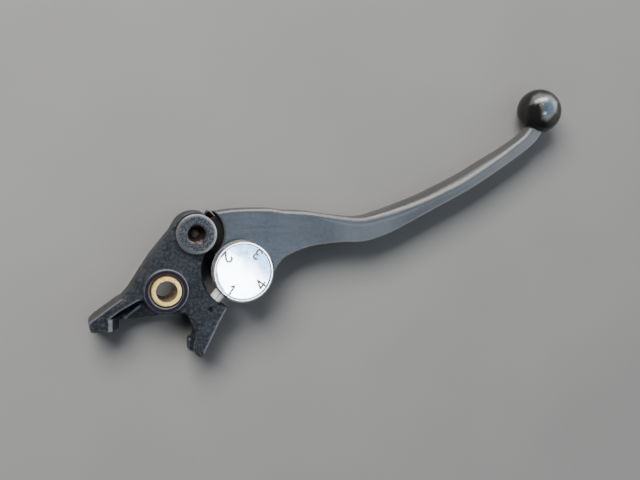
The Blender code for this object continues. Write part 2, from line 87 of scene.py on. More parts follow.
# the blade's middle line: x, y, width, thickness, middle height
FINGER = [
    (49.0, 20.9, 18.6, 11.1, 8.75),
    (56.6, 22.4, 14.3, 11.1, 8.75),
    (69.4, 22.1, 11.1, 11.0, 8.8),
    (79.8, 21.85, 10.3, 10.8, 8.8),
    (89.6, 24.45, 9.75, 10.5, 8.9),
    (99.1, 28.25, 8.65, 10.1, 9.0),
    (108.3, 32.25, 7.65, 9.7, 9.1),
    (117.9, 36.75, 7.45, 9.3, 9.2),
    (127.6, 41.6, 7.25, 8.9, 9.3),
    (136.9, 47.0, 7.1, 8.5, 9.3),
    (146.4, 52.65, 6.5, 8.1, 9.4),
    (156.3, 59.5, 6.2, 7.8, 9.5),
    (161.5, 66.4, 6.4, 7.8, 9.5),
]


# ---- plane geometry
def polar(centre, radius, degrees):
    """The point at that distance and direction from the centre."""
    a = math.radians(degrees)
    return centre[0] + radius * math.cos(a), centre[1] + radius * math.sin(a)


def arc(centre, radius, start, end, count):
    """Points on an arc, both ends included; angles are in degrees."""
    return [polar(centre, radius, start + (end - start) * i / count) for i in range(count + 1)]


def smooth(points, between=6):
    """A Catmull-Rom curve through the points."""
    dense = []
    for i in range(len(points) - 1):
        p = [np.array(points[max(0, min(len(points) - 1, i + k))], float) for k in (-1, 0, 1, 2)]
        for j in range(between):
            t = j / between
            line = p[1] * 2 + (p[2] - p[0]) * t
            line += (p[0] * 2 - p[1] * 5 + p[2] * 4 - p[3]) * t * t
            line += (p[1] * 3 - p[0] - p[2] * 3 + p[3]) * t**3
            dense.append(tuple(line / 2))
    dense.append(tuple(points[-1]))
    return dense


def ease(value, low, high):
    """0 below low, 1 above high, smooth between."""
    t = np.clip((value - low) / (high - low), 0.0, 1.0)
    return t * t * (3 - 2 * t)


def stripe(value, middle, wide):
    """1 where the value is at the middle, fading over about wide to both sides."""
    return np.exp(-(((value - middle) / wide) ** 2))


def distance(x, y, centre):
    return np.hypot(x - centre[0], y - centre[1])


def direction(x, y, centre):
    """Degrees from 0 to 360."""
    return np.degrees(np.arctan2(y - centre[1], x - centre[0])) % 360.0


def along_stop(x, y):
    """How far from the dial's axis a place lies along the stop pin's line, and how far to its side."""
    out, up = polar((0.0, 0.0), 1.0, INDEX_DEG)
    right, ahead = x - DIAL[0], y - DIAL[1]
    return right * out + ahead * up, ahead * out - right * up


def line_distance(x, y, points):
    """Distance to an open run of straight lines."""
    nearest = np.full(np.broadcast(x, y).shape, 1e9, np.float32)
    for (ax, ay), (bx, by) in zip(points, points[1:]):
        ex, ey = bx - ax, by - ay
        span = max(ex * ex + ey * ey, 1e-9)
        t = np.clip(((x - ax) * ex + (y - ay) * ey) / span, 0.0, 1.0)
        nearest = np.minimum(nearest, (x - ax - ex * t) ** 2 + (y - ay - ey * t) ** 2)
    return np.sqrt(nearest)


def plan_distance(x, y, points):
    """Distance to a closed outline, negative inside it."""
    ring = list(points) + [points[0]]
    inside = np.zeros(np.broadcast(x, y).shape, bool)
    for (ax, ay), (bx, by) in zip(ring, ring[1:]):
        if ay != by:
            spans = (y >= min(ay, by)) & (y < max(ay, by))
            inside ^= spans & (x < ax + (y - ay) * (bx - ax) / (by - ay))
    away = line_distance(x, y, ring)
    return np.where(inside, -away, away)


# ---- solid shapes as fields of distance
def meet(a, b, r):
    """The overlap of two shapes, its edge rounded to r."""
    return np.minimum(np.maximum(a, b), -r) + np.hypot(np.maximum(a + r, 0), np.maximum(b + r, 0))


def join(a, b, r):
    """Both shapes together, with a fillet of r in the corner between them."""
    return -meet(-a, -b, r)


def cut(a, b, r):
    """a less b, the edge that is left rounded to r."""
    return meet(a, -b, r)


def slab(z, low, high):
    return np.maximum(low - z, z - high)


class Field:
    """A block of space, sampled every step."""

    def __init__(self, low, high, step):
        self.low, self.step = np.array(low, float), step
        self.corners = list(itertools.product((0, 1), repeat=3))
        axes = [np.arange(a, b + step, step, dtype=np.float32) for a, b in zip(low, high)]
        self.x, self.y, self.z = axes[0][:, None, None], axes[1][None, :, None], axes[2][None, None, :]
        self.shape = tuple(len(a) for a in axes)

    def disc(self, centre, radius):
        return distance(self.x, self.y, centre) - radius

    def rod(self, centre, radius, low, high, r=0.2):
        return meet(self.disc(centre, radius), slab(self.z, low, high), r)

    def plan(self, points):
        return plan_distance(self.x, self.y, points).astype(np.float32)

    def sample(self, field, at):
        """The field between its samples."""
        spot = (at - self.low) / self.step
        limit = np.array(self.shape) - 2
        cell = np.clip(np.floor(spot).astype(int), 0, limit)
        f = np.clip(spot - cell, 0.0, 1.0)
        total = 0.0
        for corner in self.corners:
            share = np.prod(np.where(corner, f, 1 - f), axis=1)
            total = total + field[tuple((cell + corner).T)] * share
        return total

    def skin(self, field):
        """Vertices and quads of the surface where the field is zero."""
        inside = field < 0
        n = np.array(self.shape) - 1
        count = np.zeros(tuple(n), np.uint8)
        for a, b, c in self.corners:
            count += inside[a : n[0] + a, b : n[1] + b, c : n[2] + c]
        cells = np.argwhere((count > 0) & (count < 8))
        number = np.full(tuple(n), -1, np.int64)
        number[tuple(cells.T)] = np.arange(len(cells))
        place = np.zeros((len(cells), 3))
        hits = np.zeros((len(cells), 1))
        for start in self.corners:
            for axis in range(3):
                if start[axis]:
                    continue
                end = list(start)
                end[axis] = 1
                v0 = field[tuple((cells + start).T)]
                v1 = field[tuple((cells + end).T)]
                crossed = ((v0 < 0) != (v1 < 0))[:, None]
                t = (v0 / np.where(v0 == v1, 1, v0 - v1))[:, None]
                place += np.where(crossed, np.array(start) + t * (np.array(end) - start), 0.0)
                hits += crossed
        points = self.low + self.step * (cells + place / hits)
        for _ in range(3):
            value = self.sample(field, points)
            slope = np.zeros_like(points)
            for axis in range(3):
                off = np.zeros(3)
                off[axis] = 0.4 * self.step
                slope[:, axis] = self.sample(field, points + off) - self.sample(field, points - off)
            slope /= 0.8 * self.step
            steep = np.maximum((slope**2).sum(1), 0.25)
            move = slope * (value / steep)[:, None]
            length = np.linalg.norm(move, axis=1, keepdims=True)
            points -= move * np.minimum(1.0, 0.3 * self.step / np.maximum(length, 1e-9))
        quads = []
        for axis in range(3):
            u, v = (axis + 1) % 3, (axis + 2) % 3
            here = [slice(0, s) for s in self.shape]
            ahead = list(here)
            here[axis], ahead[axis] = slice(0, -1), slice(1, None)
            low_in, high_in = inside[tuple(here)], inside[tuple(ahead)]
            edges = np.argwhere(low_in != high_in)
            fits = (edges[:, u] > 0) & (edges[:, v] > 0) & (edges[:, u] < n[u]) & (edges[:, v] < n[v])
            edges = edges[fits]
            around = []
            for du, dv in ((1, 1), (0, 1), (0, 0), (1, 0)):
                cell = edges.copy()
                cell[:, u] -= du
                cell[:, v] -= dv
                around.append(number[tuple(cell.T)])
            quad = np.stack(around, 1)
            outward = low_in[tuple(edges.T)]
            quads.append(np.where(outward[:, None], quad, quad[:, ::-1]))
        return points, np.concatenate(quads)


# ---- meshes
def add_object(name, data):
    made = bpy.data.objects.new(name, data)
    bpy.context.scene.collection.objects.link(made)
    return made


def add_piece(node, kind, points, faces, body, material):
    """A mesh object from points in millimetres, riding on its body in place of its CAD node."""
    name = f"{node}_{kind}"
    mesh = bpy.data.meshes.new(name)
    mesh.from_pydata((np.asarray(points) * MM).tolist(), [], [tuple(int(v) for v in f) for f in faces])
    mesh.validate()
    mesh.shade_smooth()
    mesh.materials.append(material)
    piece = add_object(name, mesh)
    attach(piece, body)
    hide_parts(node)
    return piece


def vertex_data(piece, name):
    values = np.zeros(len(piece.data.vertices) * 3)
    piece.data.vertices.foreach_get(name, values)
    return values.reshape(-1, 3)


def points_of(piece):
    """The piece's vertices in millimetres."""
    return vertex_data(piece, "co") / MM


def set_mark(piece, name, values):
    """A number from 0 to 1 at each vertex, which the materials read by its name."""
    mark = piece.data.attributes.new(name, "FLOAT", "POINT")
    mark.data.foreach_set("value", np.clip(values, 0.0, 1.0).astype(np.float32))


def edge_wear(piece, threshold, gain):
    """Marks how far each point stands out on an outer edge, for the worn edges in the materials."""
    co, normals = points_of(piece), vertex_data(piece, "normal")
    count = len(co)
    ends = np.zeros(len(piece.data.edges) * 2, int)
    piece.data.edges.foreach_get("vertices", ends)
    a, b = ends.reshape(-1, 2).T
    gap = co[a] - co[b]
    bend = ((normals[a] - normals[b]) * gap).sum(1) / np.maximum((gap**2).sum(1), 1e-6)
    neighbours = np.maximum(np.bincount(a, minlength=count) + np.bincount(b, minlength=count), 1)
    share = (np.bincount(a, bend, count) + np.bincount(b, bend, count)) / neighbours
    near = (np.bincount(a, share[b], count) + np.bincount(b, share[a], count)) / neighbours
    set_mark(piece, "wear", ((share + near) / 2 - threshold) * gain)


def rounded(corners, ring=True, steps=5):
    """A profile of (radius, height, rounding) with each corner rounded off."""
    made = []
    count = len(corners)
    for i, (r, z, blend) in enumerate(corners):
        here = np.array((r, z), float)
        if blend <= 0 or (not ring and i in (0, count - 1)):
            made.append(here)
            continue
        before = np.array(corners[i - 1][:2], float) - here
        after = np.array(corners[(i + 1) % count][:2], float) - here
        reach_a, reach_b = np.linalg.norm(before), np.linalg.norm(after)
        before, after = before / reach_a, after / reach_b
        half = math.acos(max(-1.0, min(1.0, float(before @ after)))) / 2
        back = min(blend / max(math.tan(half), 1e-6), reach_a * 0.49, reach_b * 0.49)
        start, end = here + before * back, here + after * back
        for j in range(steps + 1):
            t = j / steps
            made.append(start * (1 - t) ** 2 + here * 2 * t * (1 - t) + end * t * t)
    return [(float(p[0]), float(p[1])) for p in made]


def open_line(*corners, steps=5):
    """A profile that isn't closed into a ring, each corner given as (radius, height, rounding)."""
    return rounded(corners, ring=False, steps=steps)


def ring_profile(inner, outer, low, high, r=0.08, inner_r=None, steps=3):
    """The section of a plain ring, its edges rounded to r, or to inner_r in the bore."""
    bore_r = r if inner_r is None else inner_r
    corners = [(outer, high, r), (outer, low, r), (inner, low, bore_r), (inner, high, bore_r)]
    return rounded(corners, steps=steps)


def lathe(profile, centre, segments, ring=True, shape=None):
    """Turns a profile, listed down its outer side, round the vertical axis through centre."""
    turn = np.linspace(0, 2 * math.pi, segments, endpoint=False)
    rows = []
    for i, (radius, height) in enumerate(profile):
        reach, rise = np.full(segments, radius), np.full(segments, height)
        if shape:
            reach, rise = shape(i, reach, rise, turn)
        rows.append(np.stack([centre[0] + reach * np.cos(turn), centre[1] + reach * np.sin(turn), rise], 1))
    k = np.arange(segments)
    after = (k + 1) % segments
    last = len(profile) - 1
    pairs = [(i, i + 1) for i in range(last)] + ([(last, 0)] if ring else [])
    faces = []
    for a, b in pairs:
        quads = np.stack([a * segments + k, b * segments + k, b * segments + after, a * segments + after], 1)
        faces += [tuple(f) for f in quads]
    if not ring:
        faces.append(tuple(range(segments)))
        faces.append(tuple(last * segments + v for v in reversed(range(segments))))
    return np.concatenate(rows), faces


def tube_faces(rows, sides):
    """Quads between rows of points that each go round a tube, and a face at each end."""
    k = np.arange(sides)
    after = (k + 1) % sides
    faces = []
    for row in range(rows - 1):
        a, b = row * sides, (row + 1) * sides
        faces += [tuple(f) for f in np.stack([a + k, a + after, b + after, b + k], 1)]
    return faces + [tuple(reversed(range(sides))), tuple((rows - 1) * sides + v for v in range(sides))]


def tube(route, radius, sides=12):
    """A wire along a route, with rounded ends."""
    route = np.array(route, float)
    along = np.gradient(route, axis=0)
    along /= np.linalg.norm(along, axis=1, keepdims=True)
    side = np.cross(along[0], (0.3, 0.2, 1.0))
    turn = np.linspace(0, 2 * math.pi, sides, endpoint=False)
    ends = [(0.25, -0.9), (0.7, -0.7), (0.95, -0.3)]
    rows = []
    for i, (spot, way) in enumerate(zip(route, along)):
        side = side - way * (side @ way)
        side /= np.linalg.norm(side)
        ring = np.outer(np.cos(turn), side) + np.outer(np.sin(turn), np.cross(way, side))
        if i == 0:
            rows += [spot + ring * radius * r + way * radius * h for r, h in ends]
        rows.append(spot + ring * radius)
        if i == len(route) - 1:
            rows += [spot + ring * radius * r - way * radius * h for r, h in reversed(ends)]
    return np.concatenate(rows), tube_faces(len(rows), sides)


def swept(section, centre, start, end, count, lift=0.0):
    """A section of (radius, height) swept part of the way round, with closed ends."""
    turn = np.radians(np.linspace(start, end, count))
    across, along, rise = np.cos(turn), np.sin(turn), np.linspace(-lift / 2, lift / 2, count)
    lines = [np.stack([centre[0] + r * across, centre[1] + r * along, h + rise], 1) for r, h in section]
    return np.stack(lines, 1).reshape(-1, 3), tube_faces(count, len(section))


# ---- materials
class Nodes:
    """A node tree that is put together node by node."""

    def __init__(self, owner):
        owner.use_nodes = True
        self.tree = owner.node_tree

    def feed(self, socket, value):
        """Links another node's output to the socket, or sets the socket to a number, vector or colour."""
        if isinstance(value, bpy.types.NodeSocket):
            self.tree.links.new(value, socket)
        elif isinstance(value, tuple) and socket.type == "RGBA":
            socket.default_value = (*value[:3], 1.0)
        else:
            socket.default_value = value

    def node(self, kind, inputs, **settings):
        """A new node; inputs maps the names or numbers of its sockets to what feeds them."""
        made = self.tree.nodes.new("ShaderNode" + kind)
        for key, value in settings.items():
            setattr(made, key, value)
        for key, value in inputs.items():
            self.feed(made.inputs[key], value)
        return made

    def span(self, value, low, high, to_low=0.0, to_high=1.0, **settings):
        ends = {"From Min": low, "From Max": high, "To Min": to_low, "To Max": to_high}
        return self.node("MapRange", {"Value": value, **ends}, **settings).outputs[0]


class Paint(Nodes):
    """A material. Places are in millimetres on the object."""

    def __init__(self, name):
        self.material = bpy.data.materials.new(name)
        super().__init__(self.material)
        where = self.node("TexCoord", {}).outputs["Object"]
        self.place = self.node("VectorMath", {0: where, "Scale": 1 / MM}, operation="SCALE").outputs[0]

    def noise(self, size, detail=3.0, rough=0.5, place=None):
        """Noise from 0 to 1 with features about size across."""
        inputs = {"Vector": place or self.place, "Scale": 1.0 / size, "Detail": detail, "Roughness": rough}
        return self.node("TexNoise", inputs).outputs["Fac"]

    def stretched(self, scale, turn):
        return self.node("Mapping", {"Vector": self.place, "Scale": scale, "Rotation": turn}).outputs[0]

    def around(self, centre, radial, angular, axial):
        """Places measured round a vertical axis: distance out, angle, height, each with its own scale."""
        shifted = self.node("VectorMath", {0: self.place, 1: (*centre, 0.0)}, operation="SUBTRACT").outputs[0]
        x, y, z = self.node("SeparateXYZ", {0: shifted}).outputs
        out = self.math("SQRT", self.math("ADD", self.math("MULTIPLY", x, x), self.math("MULTIPLY", y, y)))
        scaled = [(out, radial), (self.math("ARCTAN2", y, x), angular), (z, axial)]
        parts = {i: self.math("MULTIPLY", value, scale) for i, (value, scale) in enumerate(scaled)}
        return self.node("CombineXYZ", parts).outputs[0]

    def math(self, operation, a, b=0.0, c=0.0):
        return self.node("Math", {0: a, 1: b, 2: c}, operation=operation).outputs[0]

    def mix(self, share, a, b):
        return self.node("Mix", {0: share, 6: a, 7: b}, data_type="RGBA").outputs[2]

    def mark(self, name):
        return self.node("Attribute", {}, attribute_name=name).outputs["Fac"]

    def bump(self, *layers):
        """Layers of (height from 0 to 1, depth in millimetres)."""
        under = {}
        for height, depth in layers:
            inputs = {"Height": height, "Distance": depth * MM, "Strength": 1.0, **under}
            under = {"Normal": self.node("Bump", inputs).outputs[0]}
        self.feed(self.tree.nodes["Principled BSDF"].inputs["Normal"], under["Normal"])

    def finish(self, **sockets):
        shader = self.tree.nodes["Principled BSDF"]
        names = {"colour": "Base Color", "specular": "Specular IOR Level"}
        for key, value in sockets.items():
            self.feed(shader.inputs[names.get(key, key.capitalize())], value)
        return self.material


def black_cast():
    """Black coat over die-cast alloy: fine orange peel, dusty tone changes, worn edges brightened further by
    painted highlights, and painted shade in the fork's gap.
    """
    p = Paint("black_cast_finish")
    broad = p.noise(9.0, 3.0)
    dust = p.noise(1.1, 4.0, 0.6)
    grain = p.noise(0.28, 3.0, 0.6)
    tone = p.mix(p.span(broad, 0.35, 0.68), (0.006, 0.007, 0.010), (0.014, 0.016, 0.021))
    tone = p.mix(p.span(dust, 0.45, 0.75, 0.0, 0.7), tone, (0.056, 0.061, 0.070))
    tone = p.mix(p.mark("boss"), tone, (0.005, 0.003, 0.009))
    cast = p.math("MULTIPLY", p.mark("cast"), p.span(p.noise(0.7, 4.0, 0.65), 0.46, 0.66, 0.12, 1.0))
    tone = p.mix(cast, tone, (0.060, 0.057, 0.048))
    # painted shade: the fork's gap under the slot is near black, and the arrowhead's floor is darkened
    tone = p.mix(p.mark("gap_shade_and_arrow_dark"), tone, (0.003, 0.003, 0.003))
    wear_and_highlight = p.math("MULTIPLY", p.mark("wear"), p.span(p.noise(0.7, 4.0, 0.65), 0.38, 0.62))
    # worn edges, and painted highlights where the bracket's edges and ridges catch the light
    wear_and_highlight = p.math("MAXIMUM", wear_and_highlight, p.math("MULTIPLY", p.mark("bare_and_highlight"), p.span(dust, 0.3, 0.6, 0.7, 1.0)))
    p.bump((p.noise(2.2, 2.0), 0.05), (grain, 0.03))
    return p.finish(
        colour=p.mix(wear_and_highlight, tone, (0.36, 0.37, 0.40)),
        metallic=p.span(wear_and_highlight, 0.0, 1.0, 0.25, 0.95),
        roughness=p.math("ADD", p.span(grain, 0.3, 0.7, 0.38, 0.52), p.math("MULTIPLY", cast, 0.2)),
        specular=p.span(p.mark("gap_shade_and_arrow_dark"), 0.0, 1.0, 0.42, 0.05),
    )


def satin_alloy():
    """Grey anodised alloy with a fine drawn grain along the blade."""
    p = Paint("satin_alloy_finish")
    broad = p.noise(14.0, 3.0)
    mottle = p.noise(1.6, 4.0, 0.6)
    drawn = p.noise(0.5, 3.0, 0.6, p.stretched((0.08, 1.0, 1.0), (0.0, 0.0, math.radians(-20.0))))
    grain = p.noise(0.22, 2.0, 0.6)
    tone = p.mix(p.span(broad, 0.35, 0.65), (0.099, 0.108, 0.120), (0.126, 0.136, 0.149))
    tone = p.mix(p.span(mottle, 0.4, 0.8, 0.0, 0.35), tone, (0.185, 0.205, 0.225))
    # a lighter tone towards the ball end and on a stretch near the root
    tone = p.mix(p.math("MULTIPLY", p.mark("lighter_stretch"), 0.6), tone, (0.225, 0.240, 0.255))
    # painted reflection: a darker, bluer band on the top face below the bevel
    tone = p.mix(p.math("MULTIPLY", p.mark("blue_reflection_band"), 0.5), tone, (0.115, 0.140, 0.170))
    # painted reflection: the upper side wall is painted brownish, as the floor mirrored in it
    tone = p.mix(p.math("MULTIPLY", p.mark("side"), 0.55), tone, (0.175, 0.162, 0.140))
    wear_and_highlight = p.math("MULTIPLY", p.mark("wear"), p.span(p.noise(0.9, 4.0, 0.6), 0.32, 0.6))
    tone = p.mix(wear_and_highlight, tone, (0.46, 0.45, 0.44))
    # painted highlight: the bright bevel along the upper edge and the light lines below it and along the
    # lower edge
    strip = p.math("MULTIPLY", p.mark("strip"), p.span(mottle, 0.3, 0.6, 0.72, 0.9))
    tone = p.mix(strip, tone, (0.315, 0.31, 0.30))
    ball, gap_shade = p.mark("ball"), p.mark("gap_shade")
    # painted reflection on the ball: dark outside a bright patch, bluer in the patch's middle
    ball_reflection = p.mix(p.mark("painted_sky_blue"), (0.42, 0.425, 0.415), (0.14, 0.185, 0.235))
    tone = p.mix(ball, tone, p.mix(p.mark("painted_reflection"), (0.020, 0.021, 0.019), ball_reflection))
    # painted shade: the walls in the gaps by the fork and under the dial are near black, dull and rough
    tone = p.mix(gap_shade, tone, (0.012, 0.011, 0.011))
    rough = p.span(drawn, 0.3, 0.7, 0.34, 0.46)
    rough = p.math("MULTIPLY_ADD", ball, -0.16, rough)
    p.bump((mottle, 0.008), (drawn, 0.006), (grain, 0.006))
    return p.finish(
        colour=tone,
        metallic=p.span(gap_shade, 0.0, 1.0, 0.85, 0.1),
        roughness=p.math("MULTIPLY_ADD", gap_shade, 0.3, rough),
    )


def turned_metal(name, centre, dark, light, roughness, groove=0.012, stain=None):
    """Metal turned on a lathe about a vertical axis, with fine rings and a little tarnish."""
    p = Paint(name)
    ring = p.noise(1.0, 2.0, 0.5, p.around(centre, 9.0, 0.25, 9.0))
    mottle = p.noise(1.3, 4.0, 0.6)
    tone = p.mix(p.span(mottle, 0.35, 0.7), dark, light)
    tone = p.mix(p.span(ring, 0.3, 0.7, 0.0, 0.25), tone, light)
    if stain:
        tone = p.mix(p.span(p.noise(2.0, 4.0, 0.7), 0.55, 0.75, 0.0, 0.4), tone, stain)
    bore = p.mark("bore")
    p.bump((ring, groove), (p.noise(0.3, 2.0), 0.006))
    return p.finish(
        colour=p.mix(bore, tone, (0.17, 0.105, 0.052)),
        metallic=p.span(bore, 0.0, 1.0, 0.82, 0.35),
        roughness=p.span(mottle, 0.3, 0.7, roughness - 0.05, roughness + 0.06),
    )


def plain_metal(name, dark, light, roughness, metallic=1.0):
    """Bright or dull metal with a fine mottle."""
    p = Paint(name)
    mottle = p.noise(0.9, 4.0, 0.6)
    grain = p.noise(0.2, 2.0, 0.6)
    p.bump((grain, 0.008))
    return p.finish(
        colour=p.mix(p.span(mottle, 0.35, 0.7), dark, light),
        metallic=metallic,
        roughness=p.span(grain, 0.3, 0.7, roughness - 0.04, roughness + 0.06),
    )


def chrome():
    """Plated dial: bright, with faint polishing waves, dirt in the engraving and the knurl, and a painted
    dark reflection on the rim's left.
    """
    p = Paint("chrome_finish")
    haze = p.noise(2.5, 4.0, 0.6)
    specks = p.noise(0.35, 3.0, 0.6)
    dirt_and_dark_reflection = p.mark("dirt_and_dark_reflection")
    tone = p.mix(p.span(haze, 0.35, 0.7), (0.80, 0.81, 0.83), (0.90, 0.91, 0.93))
    # dirt in the engraving and the knurl, and a painted dark reflection on the rim's left
    tone = p.mix(dirt_and_dark_reflection, tone, (0.035, 0.030, 0.035))
    p.bump((p.noise(5.0, 1.0), 0.012), (specks, 0.0015))
    return p.finish(
        colour=tone,
        metallic=p.span(dirt_and_dark_reflection, 0.0, 1.0, 1.0, 0.2),
        roughness=p.math("ADD", p.span(haze, 0.3, 0.7, 0.05, 0.12), p.math("MULTIPLY", dirt_and_dark_reflection, 0.5)),
    )


def pin_steel():
    """Phosphated pin: grainy grey, bare on its bevel, rusty inside its mouth, where the lower wall is painted
    lighter as if lit.
    """
    p = Paint("pin_finish")
    grain = p.noise(0.55, 5.0, 0.7)
    broad = p.noise(3.0, 3.0)
    bare_and_highlight, rust = p.mark("bare_and_highlight"), p.mark("rust")
    tone = p.mix(p.span(grain, 0.44, 0.58), (0.042, 0.042, 0.050), (0.20, 0.20, 0.215))
    tone = p.mix(p.span(broad, 0.35, 0.7, 0.0, 0.35), tone, (0.11, 0.115, 0.125))
    bright = p.math("MULTIPLY", bare_and_highlight, p.span(grain, 0.25, 0.5, 0.55, 1.0))
    tone = p.mix(bright, tone, (0.54, 0.54, 0.53))
    # painted light: the rust is a lighter brown only on the mouth's lower wall, the side that faces the light
    flaky_lit_rust = p.math("MULTIPLY", p.span(p.noise(0.9, 4.0, 0.7), 0.42, 0.60), p.mark("rust_lit_side"))
    brown = p.mix(flaky_lit_rust, (0.020, 0.014, 0.012), (0.24, 0.185, 0.135))
    tone = p.mix(rust, tone, brown)
    p.bump((grain, 0.035), (p.noise(0.15, 2.0), 0.01))
    return p.finish(
        colour=tone,
        metallic=p.span(rust, 0.0, 1.0, 0.9, 0.25),
        roughness=p.math("ADD", p.span(bright, 0.0, 1.0, 0.46, 0.26), p.math("MULTIPLY", rust, 0.25)),
    )


BLACK, SATIN, CHROME, PIN_STEEL = black_cast(), satin_alloy(), chrome(), pin_steel()
BRIGHT_TURNED = (0.46, 0.47, 0.48), (0.62, 0.63, 0.64), 0.27
LINK_STEEL = turned_metal("link_steel_finish", LINK, *BRIGHT_TURNED)
DIAL_STEEL = turned_metal("dial_steel_finish", DIAL, *BRIGHT_TURNED)
BRONZE = turned_metal("bronze_finish", LINK, (0.34, 0.20, 0.09), (0.50, 0.32, 0.16), 0.36)
BRASS_TONES = (0.95, 0.60, 0.17), (1.0, 0.71, 0.26)
BRASS = turned_metal("brass_finish", PIVOT, *BRASS_TONES, 0.29, 0.004, stain=(0.80, 0.48, 0.14))
RUSTY_TONES = (0.11, 0.075, 0.058), (0.19, 0.14, 0.11)
SCREW_STEEL = turned_metal("screw_finish", LINK, *RUSTY_TONES, 0.50, stain=(0.080, 0.040, 0.020))
STOP_STEEL = plain_metal("stop_pin_finish", (0.80, 0.79, 0.76), (0.95, 0.94, 0.91), 0.30, 0.55)
BRIGHT = plain_metal("bright_steel_finish", (0.50, 0.50, 0.50), (0.68, 0.68, 0.67), 0.24)


# ---- the bracket
BACK_EDGE = [(2.2, 23.2), (-5.5, 14.0), (-9.4, 8.2), (-13.3, 2.1), (-16.3, -1.8), (-28.8, -10.6)]
RIB_EDGE = [(-20.9, -10.0), (-17.2, -7.3), (-10.5, -3.6)]
FINGER_BACK = [(6.6, -9.2), (8.1, -10.3), (10.0, -14.3), (11.1, -17.1), (10.2, -20.6)]
FINGER_HOOK = [(9.9, -23.3), (11.0, -25.6), (12.5, -26.7), (14.1, -26.2)]
FINGER_FRONT = [(15.3, -24.5), (20.5, -14.2), (23.9, -8.0)]
WEB_EDGE = [(-20.9, -10.4), (-17.6, -11.6), (-7.4, -11.0), (-2.4, -10.7)]
WEB_PLAN = WEB_EDGE + [(2.0, -8.0), (-4.0, -2.0), (-14.0, -4.0)]
WEB_RIDGE = [(-15.0, -10.5), (-9.4, -6.6)]
TIP_PLAN = [(-22.0, PAD_Y), (-17.5, PAD_Y + 0.1), (-17.3, -9.8), (-22.0, -9.8)]
ARM_BLEND = (-18.5, -14.0)  # where, along x, the arm gives way to the plate
COUNTERBORE_R = 5.4


def bracket_outline():
    """The bracket's plan, anticlockwise from the cheek's lower right round the pin, arm and finger."""
    points = arc(LINK, CHEEK_INNER_R, -62.0, 57.0, 40) + arc(LINK, CHEEK_R, 68.0, 150.0, 30)
    points += BACK_EDGE + [(-28.1, PAD_Y), (-20.5, PAD_Y)]
    points += RIB_EDGE + arc(PIVOT, SKIRT_R, 202.0, 275.0, 24)
    points += smooth(FINGER_BACK + FINGER_HOOK + FINGER_FRONT[:1], 4)
    return points + FINGER_FRONT[1:] + arc(DIAL, HOLLOW_R, 246.0, 153.0, 48)


def bracket_body(f):
    """The plate, its arm and finger, and what stands on them."""
    x, y, z = f.x, f.y, f.z
    back, front = line_distance(x, y, BACK_EDGE), line_distance(x, y, FINGER_FRONT)
    hollow = np.abs(distance(x, y, DIAL) - HOLLOW_R)
    arm = 1 - ease(x, *ARM_BLEND)
    flare = 0.35 * arm * ease(x, -28.4, -26.5) * np.clip((12.0 - z) / 10.0, 0, 1) * (back < 3.0)
    leaning = DRAFT * np.abs(z - PARTING_Z) - SEAM * stripe(z, PARTING_Z, 0.3) - flare
    shoulder = SHOULDER_DROP * np.clip(1 - back / SHOULDER_WIDE, 0, 1) ** 1.2 * (1 - arm)
    faces = np.maximum(z - PLATE_HIGH + shoulder, PLATE_LOW + 0.6 * shoulder - z)
    edge = 0.5 + 0.5 * (1 - ease(front, 0.6, 2.0)) + 0.35 * (1 - ease(hollow, 0.8, 2.0))
    body = meet(f.plan(bracket_outline()) + leaning, faces * 0.85, edge)
    # the triangular recess below the rib, with its two facets
    across = (x + 15.4) * 0.64 - (y + 10.9) * 0.77
    web_top = WEB_HIGH - 0.42 * np.clip(-across, 0, 3.0) - 0.10 * np.maximum(across, 0)
    body = join(body, meet(f.plan(WEB_PLAN), np.maximum(z - web_top, WEB_LOW - z), 0.35), 0.5)
    # the tip block's sloped inner side, and the chamfer above it
    slope = (x + 19.9) * 0.906 + (z - 13.4) * 0.423
    body = join(body, meet(f.plan(TIP_PLAN), np.maximum(slope, slab(z, 1.7, PLATE_HIGH)), 0.3), 0.3)
    chamfer = (x + 21.7) * 0.52 + (z - PLATE_HIGH) * 0.854
    body = np.where((x > -24.0) & (x < -16.0) & (y < -9.7), meet(body, chamfer, 0.12), body)
    # the fork's lower cheek, the pivot boss and the pad that pushes the piston
    cheek = arc(LINK, LOWER_CHEEK_R, -58.0, 55.0, 30) + [LINK]
    body = join(body, meet(f.plan(cheek), slab(z, PLATE_LOW, SLOT_LOW), 0.3), 0.3)
    body = join(body, f.rod(PIVOT, BOSS_R, BOSS_LOW, BOSS_HIGH, 0.35), 0.9)
    pad = [np.abs(a - c) - size / 2 for a, c, size in zip((x, y, z), PISTON_PAD, PISTON_PAD_SIZE)]
    return join(body, meet(meet(pad[0], pad[1], 0.6), pad[2], 0.6), 0.6)


